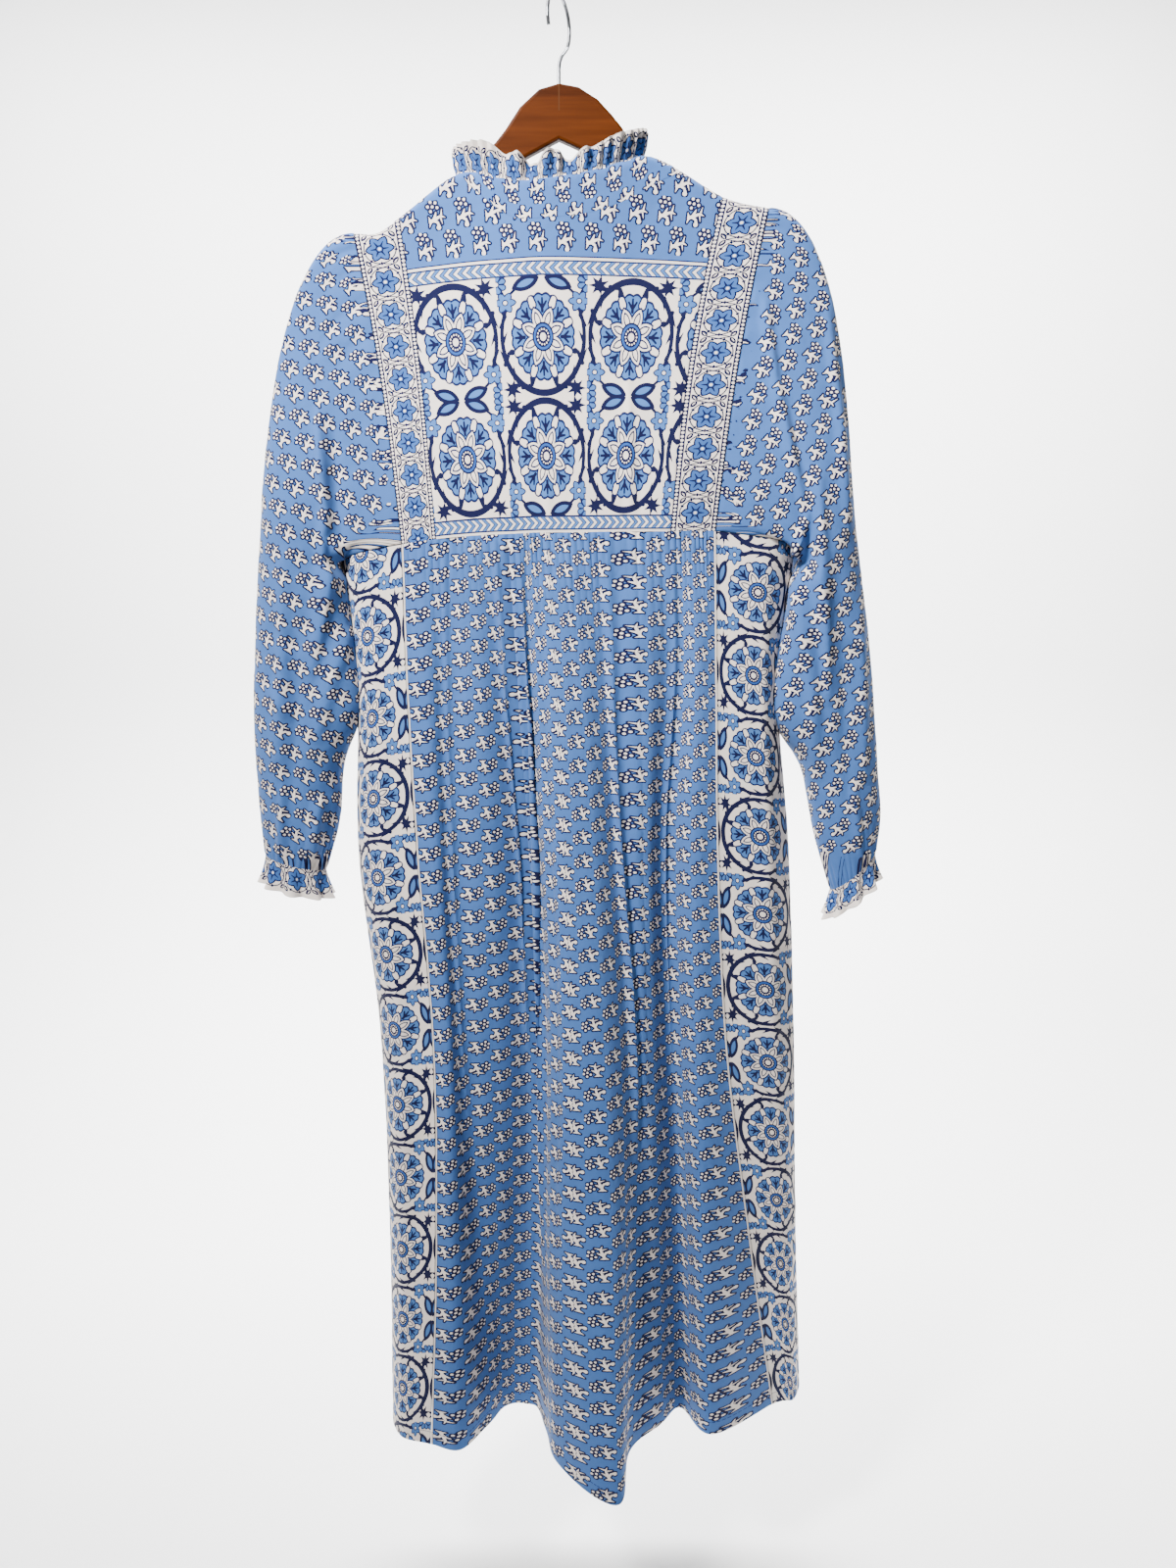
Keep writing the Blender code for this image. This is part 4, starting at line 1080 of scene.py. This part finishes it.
def outlined(below, shape, line, width, fill, inner=0.0):
    # A filled shape whose outline reaches width beyond its edge
    return paint(paint(below, shape, line, width), shape, fill, inner)


def spun(r, turn):
    # The same place as seen from the middle line of its own petal
    return spot(turn.step("COSINE") * r, turn.step("SINE") * r)


def start_print(name):
    group = bpy.data.node_groups.new(name, "ShaderNodeTree")
    group.interface.new_socket("Cloth", in_out="INPUT", socket_type="NodeSocketVector")
    group.interface.new_socket("Colour", in_out="OUTPUT", socket_type="NodeSocketColor")
    first = group.nodes.new("NodeGroupInput")
    last = group.nodes.new("NodeGroupOutput")
    return group, Spot(group, first.outputs[0]), last.inputs[0]


def use_print(tree, group, at):
    node = tree.nodes.new("ShaderNodeGroup")
    node.node_tree = group
    feed(tree, node.inputs[0], at)
    return node.outputs[0]


GROUND = dye(66, 104, 166)
DEEP_BLUE = dye(44, 84, 156)
FLOWER_BLUE = dye(58, 96, 160)
PALE_BLUE = dye(70, 112, 174)
CREAM = dye(230, 220, 213)
NAVY_INK = dye(16, 19, 56)
LINE_INK = dye(22, 28, 70)

# Sprig: white dabs x, y, radius, then white strokes x, y, half width at both ends
SPRIG_PITCH, SPRIG_ROW, SPRIG_LINE = 22.8, 22.4, 1.35
SPRIG_DABS = (
    ("berry_middle", -2.2, 6.6, 1.1),
    ("berry_1", 0.4, 9.3, 1.15),
    ("berry_2", -3.4, 10.2, 1.15),
    ("berry_3", -5.9, 7.0, 1.15),
    ("berry_4", -4.0, 3.4, 1.1),
    ("berry_5", 1.5, 5.7, 1.1),
    ("curl_end", 0.9, -8.8, 1.75),
)
SPRIG_STROKES = (
    ("thin_arm", -2.2, -3.0, 1.4, 0.0, 2.2, 0.4),
    ("leaf_arm", -1.6, -2.6, 1.4, 3.0, -0.8, 0.8),
    ("leaf_out", 4.0, -0.9, 0.8, 7.0, -2.0, 0.1),
    ("leaf_up", 4.0, 0.6, 0.7, 4.9, 4.6, 0.1),
    ("leaf_down", 3.4, -2.4, 0.6, 4.3, -6.4, 0.1),
    ("curl", -2.0, -3.6, 1.1, 0.6, -5.2, 0.9),
    ("curl_side", 0.6, -5.2, 0.8, 1.2, -8.0, 1.2),
    ("foot", -2.6, -3.2, 1.3, -5.2, -4.0, 1.2),
    ("foot_up", -5.2, -3.6, 1.1, -6.2, -0.2, 0.1),
    ("foot_down", -5.0, -4.2, 1.1, -6.4, -8.0, 0.1),
)


def sprig_print():
    group, at, end = start_print("sprig print")
    x, y = at.parts()
    row = (y / SPRIG_ROW + 0.5).step("FLOOR")
    x = x + row * (SPRIG_PITCH / 2)
    across, down = SPRIG_PITCH / 2, SPRIG_ROW / 2
    here = spot(x.wrapped(across, -across), y.wrapped(down, -down))
    shapes = [dab(here, *row[1:]) for row in SPRIG_DABS]
    shapes += [stroke(here, *row[1:]) for row in SPRIG_STROKES]
    feed(group, end, outlined(GROUND, joined(shapes), NAVY_INK, SPRIG_LINE, CREAM))
    return group


def petal(r, turn, start, tip, half):
    # Distance from the edge of the nearest petal, a leaf that points outwards
    return leaf(spun(r, turn), start, 0.0, tip, 0.0, half)


def round_petal(r, turn, start, start_half, tip, half):
    return stroke(spun(r, turn), start, 0.0, start_half, tip, 0.0, half)


# Star-flower vine: one flower to each repeat along the band, in millimetres
VINE_PITCH, VINE_RING, VINE_PETALS, VINE_THORNS = 29.0, 12.6, 6, 9.0
VINE_BUD, VINE_NOTCH = (8.6, 14.2, 13.2, 8.8, 2.0), (9.6, 13.4, 12.2, 10.4, 0.5)
VINE_STEM, VINE_RIB = (0.0, 12.8, 0.4, 8.4, 14.4, 0.4), (2.6, 0.0, 0.9, 7.0, 0.0, 0.3)
VINE_PETAL, VINE_EYE, VINE_EYE_BLUE, VINE_EYE_CREAM = (-2.0, 11.4, 4.0), 3.2, 2.1, 1.3


def vine_print():
    group, at, end = start_print("star flower vine")
    x, y = at.parts()
    y = y.wrapped(VINE_PITCH / 2, -VINE_PITCH / 2)
    r, turn = turned_polar(x, y, VINE_PETALS)
    theta = y.step("ARCTAN2", x)
    thorn = (theta * VINE_THORNS).step("SINE").scaled(5.0, -4.0, clamp=True)
    ring = abs(r - VINE_RING) - thorn.scaled(1.0, 0.5)
    corner = spot(abs(x), abs(y))
    shapes = [ring, leaf(corner, *VINE_BUD), stroke(corner, *VINE_STEM)]
    colour = paint(CREAM, joined(shapes), NAVY_INK)
    colour = paint(colour, leaf(corner, *VINE_NOTCH), CREAM)
    colour = outlined(colour, petal(r, turn, *VINE_PETAL), NAVY_INK, 0.55, FLOWER_BLUE, -0.65)
    rib = stroke(spun(r, turn), *VINE_RIB)
    colour = paint(colour, rib.least(r - VINE_EYE), NAVY_INK)
    feed(group, end, outlined(colour, r, FLOWER_BLUE, VINE_EYE_BLUE, CREAM, VINE_EYE_CREAM))
    return group


# Medallion cell: half sizes, and strokes of the scroll in the half that is drawn twice
CELL_X, CELL_Y = 39.0, 52.5
SCROLL = (
    ("hook_top", 20.0, 44.0, 1.8, 11.4, 42.0, 1.6),
    ("hook_top_end", 11.4, 42.0, 1.6, 10.4, 36.0, 2.9),
    ("hook_side", 35.0, 23.0, 1.8, 31.0, 13.2, 1.6),
    ("hook_side_end", 31.0, 13.2, 1.6, 28.4, 12.4, 2.8),
    ("hook_low", 37.0, -10.0, 1.4, 32.6, -19.0, 1.6),
    ("hook_low_end", 32.6, -19.0, 1.6, 34.2, -24.4, 2.8),
    ("thorn_1", 26.6, 35.0, 2.2, 27.6, 24.6, 0.2),
    ("thorn_2", 34.2, 20.0, 2.0, 39.0, 9.6, 0.2),
    ("thorn_3", 23.0, 41.6, 2.0, 31.0, 40.6, 0.2),
    ("thorn_4", 35.8, 3.0, 1.8, 31.6, -5.6, 0.2),
    ("vine_1", 36.0, -24.0, 1.3, 31.6, -33.0, 1.2),
    ("vine_2", 31.6, -34.0, 1.2, 22.0, -43.0, 1.2),
    ("vine_3", 31.6, -34.0, 1.2, 37.5, -47.0, 1.2),
)


# Wreath of the scroll: half width and height, line, and where it opens for the two leaves
WREATH_X, WREATH_Y, WREATH_SCALE = 36.4, 49.0, 38.0
WREATH_LINE, WREATH_SWELL, WREATH_FOOT, WREATH_OPEN = 1.35, 0.013, 34.0, 24.0
BLADE = (2.0, -51.8, 25.5, -42.5, 6.4)
# Small flowers by the wreath: middle, and whether their petals are pointed
TUFT_AT, TUFT_TIPS, TUFT_STAR = (29.4, 45.0), 7, (9.2, 4.0)
SMALL_FLOWERS = ((31.8, -31.0, True), (38.6, -47.2, False))
POINTED_PETAL, ROUND_PETAL = (0.6, 8.8, 2.4), (3.6, 1.0, 6.2, 2.0)
# Oval in the middle: its stretch, petals and ragged edge, then knobs, bird's feet and the flower
OVAL, OVAL_PETALS, OVAL_R, OVAL_RAGS, OVAL_RAG_DEPTH = 1.37, 8, 25.6, 12.0, 1.3
KNOB = (22.0, 0.0, 2.5, 25.4, 0.0, 2.1)
FOOT = ((16.4, 0.0, 1.2, 24.4, 0.0, 0.8), (18.2, 0.0, 1.1, 22.4, 3.4, 0.75))
BIG_PETAL, INNER_PETAL, INNER_LINE = (3.0, 19.4, 4.2), (6.0, 16.8, 2.2), 0.5
EYE_LINE, EYE_BLUE, EYE_DARK, EYE_CREAM = 9.4, 8.2, 6.6, 2.7
SEEDS, SEED_AT, SEED_R = 14, 4.9, 0.65


def medallion_print():
    group, at, end = start_print("medallion")
    x, y = at.parts()
    odd = (x / (2 * CELL_X) + 0.5).step("FLOOR") + (y / (2 * CELL_Y)).step("FLOOR")
    flip = (odd.step("FLOORED_MODULO", 2.0) * -2.0) + 1.0
    x = abs(x.wrapped(CELL_X, -CELL_X))
    y = (y.wrapped(2 * CELL_Y, 0.0) - CELL_Y) * flip
    here = spot(x, y)

    # Scroll with its hooks, open where the two leaves meet
    wreath = spot(x / WREATH_X, y / WREATH_Y).step("LENGTH", out="Value") - 1.0
    body = abs(wreath) * WREATH_SCALE - (y + WREATH_FOOT).scaled(WREATH_SWELL, WREATH_LINE)
    body = body.most(y * -1.0 - WREATH_OPEN)
    colour = paint(CREAM, joined([body] + [stroke(here, *row[1:]) for row in SCROLL]), NAVY_INK)
    r, turn = turned_polar(x - TUFT_AT[0], y - TUFT_AT[1], TUFT_TIPS)
    colour = paint(colour, star(r, turn, TUFT_TIPS, *TUFT_STAR), NAVY_INK)
    colour = outlined(colour, leaf(here, *BLADE), NAVY_INK, 0.0, PALE_BLUE, -3.5)
    for cx, cy, pointed in SMALL_FLOWERS:
        r, turn = turned_polar(x - cx, y - cy, 6 if pointed else 7)
        flower = petal(r, turn, *POINTED_PETAL) if pointed else round_petal(r, turn, *ROUND_PETAL)
        colour = outlined(colour, flower, LINE_INK, 1.1, PALE_BLUE)
        colour = outlined(colour, r, LINE_INK, 2.7, CREAM, 1.7)

    # Ragged oval with knobs across its edge, bird's-foot sprigs and the white flower
    oy = y / OVAL
    r, turn = turned_polar(x, oy, OVAL_PETALS)
    theta = oy.step("ARCTAN2", x)
    ragged = r - OVAL_R - abs((theta * OVAL_RAGS).step("SINE")) * OVAL_RAG_DEPTH
    colour = outlined(colour, ragged, LINE_INK, 1.6, PALE_BLUE)
    other = turn * -1.0 + math.pi / OVAL_PETALS
    knob = stroke(spun(r, other), *KNOB)
    colour = paint(colour, knob.most(ragged), LINE_INK, 1.3)
    colour = paint(colour, knob, CREAM)
    spoke = spun(r, turn)
    colour = paint(colour, joined([stroke(spoke, *row) for row in FOOT]), NAVY_INK)
    colour = outlined(colour, petal(r, other, *BIG_PETAL), LINE_INK, 1.3, CREAM)
    colour = paint(colour, abs(petal(r, other, *INNER_PETAL)) - INNER_LINE, LINE_INK)
    colour = outlined(colour, r, NAVY_INK, EYE_LINE, DEEP_BLUE, EYE_BLUE)
    colour = paint(colour, r, NAVY_INK, EYE_DARK)
    seeds = spun(*turned_polar(x, oy, SEEDS))
    colour = paint(colour, dab(seeds, SEED_AT, 0.0, SEED_R), CREAM)
    feed(group, end, paint(colour, r, CREAM, EYE_CREAM))
    return group


# Arrowheads, then heights on the back yoke: sprigs above, plain strip, panel, foot
CHEVRON_PITCH, CHEVRON_HIGH, CHEVRON_AT, CHEVRON_LINE, CHEVRON_FILL = 7.7, 11.0, 3.0, 2.55, 1.55
SPRIG_AT, SPRIG_PACK, GROUND_TOP, STRIP_LINE, STRIP_TOP = (2.0, 138.0), 0.86, 126.0, 122.0, 120.9
UPPER_CHEVRONS, PANEL_HALF, PANEL_FOOT, LOWER_CHEVRONS = 106.6, 105.6, -106.1, -117.8


def chevrons(below, x, y, low, way):
    # A row of arrowheads between two lines, from height low upwards
    mid = abs(y - (low + CHEVRON_HIGH / 2))
    inside = mid - CHEVRON_HIGH / 2
    step = (mid + x * way).wrapped(CHEVRON_PITCH, 0.0)
    colour = outlined(below, inside, LINE_INK, 1.0, PALE_BLUE, -0.3)
    for half, ink in ((CHEVRON_LINE, LINE_INK), (CHEVRON_FILL, CREAM)):
        colour = paint(colour, (abs(step - CHEVRON_AT) - half).most(inside + 0.6), ink)
    return colour


def border_print(sprigs, medallions):
    # The back yoke: sprigs, arrowheads, two rows of medallions, arrowheads
    group, at, end = start_print("yoke border")
    x, y = at.parts()
    lifted = spot(x + SPRIG_AT[0], (y - SPRIG_AT[1]) * SPRIG_PACK)
    colour = paint(use_print(group, sprigs, lifted), y, GROUND, GROUND_TOP)
    colour = outlined(colour, y, LINE_INK, STRIP_LINE, CREAM, STRIP_TOP)
    colour = chevrons(colour, x, y, UPPER_CHEVRONS, -1.0)
    rows = use_print(group, medallions, spot(x + 2 * CELL_X, y))
    colour = outlined(colour, abs(y) - PANEL_HALF, LINE_INK, 1.1, rows)
    colour = paint(colour, y, CREAM, PANEL_FOOT)
    feed(group, end, chevrons(colour, x, y, LOWER_CHEVRONS, 1.0))
    return group


# Bead lines on the bands, stitches and threads, in millimetres
BEADS_AT, BEAD_LINE, BEAD_PITCH, BEAD_R = 16.4, 2.3, 3.5, 1.25
STITCH_PITCH, STITCH_LONG, THREADS = 2.6, 1.8, 9.0
COTTON_SHEEN, COTTON_SHINE, WOOD_SHINE = 0.12, 0.065, 0.06


def material(name):
    look = bpy.data.materials.new(name)
    look.use_nodes = True
    return look, look.node_tree, look.node_tree.nodes["Principled BSDF"]


def uv_spot(tree, title):
    node = tree.nodes.new("ShaderNodeUVMap")
    node.uv_map = title
    return Spot(tree, node.outputs[0])


def noise(tree, scale, detail=2.0, stretch=None):
    node = tree.nodes.new("ShaderNodeTexNoise")
    node.inputs["Scale"].default_value = scale
    node.inputs["Detail"].default_value = detail
    source = Spot(tree, tree.nodes.new("ShaderNodeTexCoord").outputs["Object"])
    if stretch:
        source = source.step("MULTIPLY", stretch)
    feed(tree, node.inputs["Vector"], source)
    return Ink(tree, node.outputs[0])


def tint(tree, colour, share):
    # Darkens or lightens a colour by a share round 1
    node = tree.nodes.new("ShaderNodeMix")
    node.data_type, node.blend_type = "RGBA", "MULTIPLY"
    node.inputs["Factor"].default_value = 1.0
    feed(tree, node.inputs[6], colour)
    feed(tree, node.inputs[7], share.socket)
    return node.outputs[2]


def bump(tree, height, strength, distance, under=None):
    node = tree.nodes.new("ShaderNodeBump")
    node.inputs["Strength"].default_value = strength
    node.inputs["Distance"].default_value = distance
    feed(tree, node.inputs["Height"], height)
    if under is not None:
        tree.links.new(under, node.inputs["Normal"])
    return node.outputs[0]


def stitches(colour, away, half, y, ink):
    # A dashed line where the distance away from it is nothing
    dash = y.wrapped(STITCH_PITCH, 0.0) - STITCH_LONG
    return paint(colour, (abs(away) - half).most(dash), ink)


def cotton(name, group, selvage=0.0, hem=0.0, stitched=0.0, beads=False, rolled=0.0):
    # Thin plain-woven cotton with its print, seams, hem and crumples, and painted shade along its side
    # edges
    look, tree, shader = material(name)
    at = uv_spot(tree, "print")
    colour = use_print(tree, group, at)
    side, low = uv_spot(tree, "edge").parts()
    x, y = at.parts()
    if beads:
        off = abs(x) - BEADS_AT
        colour = paint(colour, abs(off) - BEAD_LINE, NAVY_INK)
        bead = spot(off, y.wrapped(BEAD_PITCH / 2, -BEAD_PITCH / 2)).step("LENGTH", out="Value")
        colour = paint(colour, bead, CREAM, BEAD_R)
    if selvage:
        colour = outlined(colour, side, LINE_INK, selvage + 0.4, CREAM, selvage)
    if rolled:
        colour = paint(colour, side, CREAM, rolled)
    creased = noise(tree, 38.0, 4.0)
    if hem:
        colour = stitches(colour, low - hem, 0.35, y, LINE_INK)
        creased = creased + (low - hem).scaled(-2.0, 0.5, clamp=True) * 0.25
    if stitched:
        colour = stitches(colour, side - stitched, 0.3, y, CREAM)
    colour = tint(tree, colour, noise(tree, 9.0, 3.0).scaled(0.16, 0.92))
    # Painted shade: the colour darkens to 0.55 within about a millimetre of the side edges, as if the
    # seams' creases lay in shadow
    colour = tint(tree, colour, side.scaled(0.5, 0.55, clamp=True))
    feed(tree, shader.inputs["Base Color"], colour)
    feed(tree, shader.inputs["Roughness"], noise(tree, 22.0).scaled(0.16, 0.76))
    shader.inputs["Sheen Weight"].default_value = COTTON_SHEEN
    shader.inputs["Specular IOR Level"].default_value = COTTON_SHINE
    thread = (x * THREADS).step("SINE") * (y * THREADS).step("SINE")
    woven = bump(tree, thread, 0.25, 0.00008)
    tree.links.new(bump(tree, creased, 0.45, 0.0035, woven), shader.inputs["Normal"])
    return look


# Wood: grain to the metre along each axis, its two browns, and the dark line under the hook
GRAIN, BROAD_GRAIN = (9.0, 120.0, 150.0), (4.0, 20.0, 30.0)
WOOD_STOPS = ((0.32, dye(46, 16, 1)), (0.68, dye(82, 38, 5)))
SLOT_HALF, SLOT_DOWN, SLOT_BROWN = 0.0005, 0.096, dye(70, 42, 22)
STEEL_GREY, HORN_CREAM, PAPER_WHITE = dye(150, 152, 158), dye(222, 212, 196), (0.88, 0.88, 0.88)


def varnished_wood():
    look, tree, shader = material("varnished wood")
    grain = noise(tree, 1.0, 6.0, GRAIN)
    broad = noise(tree, 1.0, 2.0, BROAD_GRAIN)
    ramp = tree.nodes.new("ShaderNodeValToRGB")
    for stop, (position, colour) in zip(ramp.color_ramp.elements, WOOD_STOPS):
        stop.position, stop.color = position, (*colour, 1)
    feed(tree, ramp.inputs[0], grain * 0.6 + broad * 0.4)
    node = tree.nodes.new("ShaderNodeSeparateXYZ")
    tree.links.new(tree.nodes.new("ShaderNodeTexCoord").outputs["Object"], node.inputs[0])
    x, up = Ink(tree, node.outputs[0]), Ink(tree, node.outputs[2])
    slot = (abs(x) - SLOT_HALF).most(up * -1.0 - SLOT_DOWN)
    feed(tree, shader.inputs["Base Color"], paint(ramp.outputs[0], slot, SLOT_BROWN))
    feed(tree, shader.inputs["Roughness"], grain.scaled(0.2, 0.36))
    shader.inputs["Specular IOR Level"].default_value = WOOD_SHINE
    tree.links.new(bump(tree, grain, 0.15, 0.0004), shader.inputs["Normal"])
    return look


def wire_steel():
    look, tree, shader = material("wire steel")
    cloud = noise(tree, 90.0).scaled(0.3, 0.85)
    feed(tree, shader.inputs["Base Color"], tint(tree, STEEL_GREY, cloud))
    shader.inputs["Metallic"].default_value = 1.0
    feed(tree, shader.inputs["Roughness"], noise(tree, 160.0, 4.0).scaled(0.2, 0.22))
    return look


def button_horn():
    look, tree, shader = material("button shell")
    cloud = noise(tree, 130.0, 3.0, (1.0, 1.0, 3.0)).scaled(0.5, 0.75)
    feed(tree, shader.inputs["Base Color"], tint(tree, HORN_CREAM, cloud))
    feed(tree, shader.inputs["Roughness"], noise(tree, 240.0).scaled(0.15, 0.2))
    return look


def paper():
    look, tree, shader = material("studio paper")
    cloud = noise(tree, 0.8).scaled(0.03, 0.985)
    feed(tree, shader.inputs["Base Color"], tint(tree, PAPER_WHITE, cloud))
    shader.inputs["Roughness"].default_value = 0.95
    return look


SPRIGS, VINE, MEDALLIONS = sprig_print(), vine_print(), medallion_print()
SPRIG = cotton("sprig cotton", SPRIGS)
SPRIG_SKIRT = cotton("skirt cotton", SPRIGS, selvage=1.6, hem=14.0)
SPRIG_STITCHED = cotton("placket cotton", SPRIGS, stitched=2.4)
MEDALLION_SIDE = cotton("side panel cotton", MEDALLIONS, hem=14.0)
YOKE_BORDER = cotton("yoke cotton", border_print(SPRIGS, MEDALLIONS))
VINE_BAND = cotton("band cotton", VINE, beads=True)
VINE_FRILL = cotton("frill cotton", VINE, rolled=1.8)
WOOD, STEEL, HORN, STUDIO_PAPER = varnished_wood(), wire_steel(), button_horn(), paper()


def make_camera():
    eye = bpy.data.cameras.new("photo_camera")
    eye.lens, eye.sensor_width, eye.sensor_fit = LENS, SENSOR, "AUTO"
    made = bpy.data.objects.new("photo_camera", eye)
    made.location = CAMERA_AT
    made.rotation_euler = (math.pi / 2 - CAMERA_TIP, 0, 0)
    bpy.context.scene.collection.objects.link(made)
    bpy.context.scene.camera = made


def make_light(name, at, toward, size, power, colour, spread):
    lamp = bpy.data.lights.new(name, "AREA")
    lamp.shape, lamp.size, lamp.size_y = "RECTANGLE", size[0], size[1]
    lamp.energy, lamp.color = power, colour
    lamp.spread = math.radians(spread)
    made = bpy.data.objects.new(name, lamp)
    made.location = at
    way = Vector(toward) - Vector(at)
    made.rotation_euler = way.to_track_quat("-Z", "Y").to_euler()
    bpy.context.scene.collection.objects.link(made)


def make_studio():
    # A pale floor that curves up into a wall behind the dress
    profile = [(FLOOR_FRONT_Y, FLOOR_Z)]
    for step in range(SWEEP_STEPS + 1):
        angle = math.radians(90 * step / SWEEP_STEPS)
        back = WALL_Y - SWEEP_R + SWEEP_R * math.sin(angle)
        profile.append((back, FLOOR_Z + SWEEP_R - SWEEP_R * math.cos(angle)))
    profile.append((WALL_Y, WALL_TOP))
    verts, faces = [], []
    for y, z in profile:
        verts += [(-FLOOR_HALF_X, y, z), (FLOOR_HALF_X, y, z)]
    for i in range(len(profile) - 1):
        faces.append((2 * i, 2 * i + 1, 2 * i + 3, 2 * i + 2))
    mesh = bpy.data.meshes.new("studio_floor")
    mesh.from_pydata(verts, [], faces)
    mesh.shade_smooth()
    made = bpy.data.objects.new("studio_floor", mesh)
    bpy.context.scene.collection.objects.link(made)
    mesh.materials.append(STUDIO_PAPER)


def add(piece, node):
    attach(piece, "root")
    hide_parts(node)


def refinish(node, finish):
    # A solid shown as it is, in its own finish
    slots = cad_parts[node].data.materials
    slots.clear()
    slots.append(finish)


make_camera()
make_studio()
for lamp in LAMPS:
    make_light(*lamp)
world = bpy.data.worlds.new("studio")
bpy.context.scene.world = world
world.use_nodes = True
sky = world.node_tree.nodes["Background"]
sky.inputs["Color"].default_value = (1.0, 1.0, 1.0, 1)
sky.inputs["Strength"].default_value = WORLD_STRENGTH

FRONT_ENDS = ("front_0", "front_%d" % (FRONT_PLEATS + 1))

add(make_skirt_back(), "skirt_back")
add(make_skirt_front(), "skirt_front")
right = make_side_panel(
    "panel_right", "right_seam", FRONT_ENDS[0], True, SIDE_PRINT_START[1], RIGHT_SIDE_CREASES
)
add(right, "side_panel_right")
left = make_side_panel(
    "panel_left", FRONT_ENDS[1], "left_seam", False, SIDE_PRINT_START[0], LEFT_SIDE_CREASES
)
add(left, "side_panel_left")
add(make_back_yoke(), "back_yoke")
add(make_crescent(), "back_neck_yoke")
add(make_band("flower_band_left", True), "band_left")
add(make_band("flower_band_right", False), "band_right")
middle = across_width(NECK_X)
left = make_front_yoke("yoke_front_left", BAND_T, middle - PLACKET_HALF_T)
add(left, "front_yoke_left")
right = make_front_yoke("yoke_front_right", middle + PLACKET_HALF_T, 1 - BAND_T)
add(right, "front_yoke_right")
add(make_placket(), "placket")
add(make_neck_frill(), "neck_frill")
left = make_sleeve("sleeve_cloth_left", -1, LEFT_SLEEVE_CREASES)
add(left, "sleeve_left")
right = make_sleeve("sleeve_cloth_right", 1, RIGHT_SLEEVE_CREASES)
add(right, "sleeve_right")
add(make_cuff("cuff_left", -1), "cuff_frill_left")
add(make_cuff("cuff_right", 1), "cuff_frill_right")

refinish("hanger_wood", WOOD)
refinish("hanger_hook", STEEL)
for i in range(BUTTONS):
    refinish("button_%d" % (i + 1), HORN)
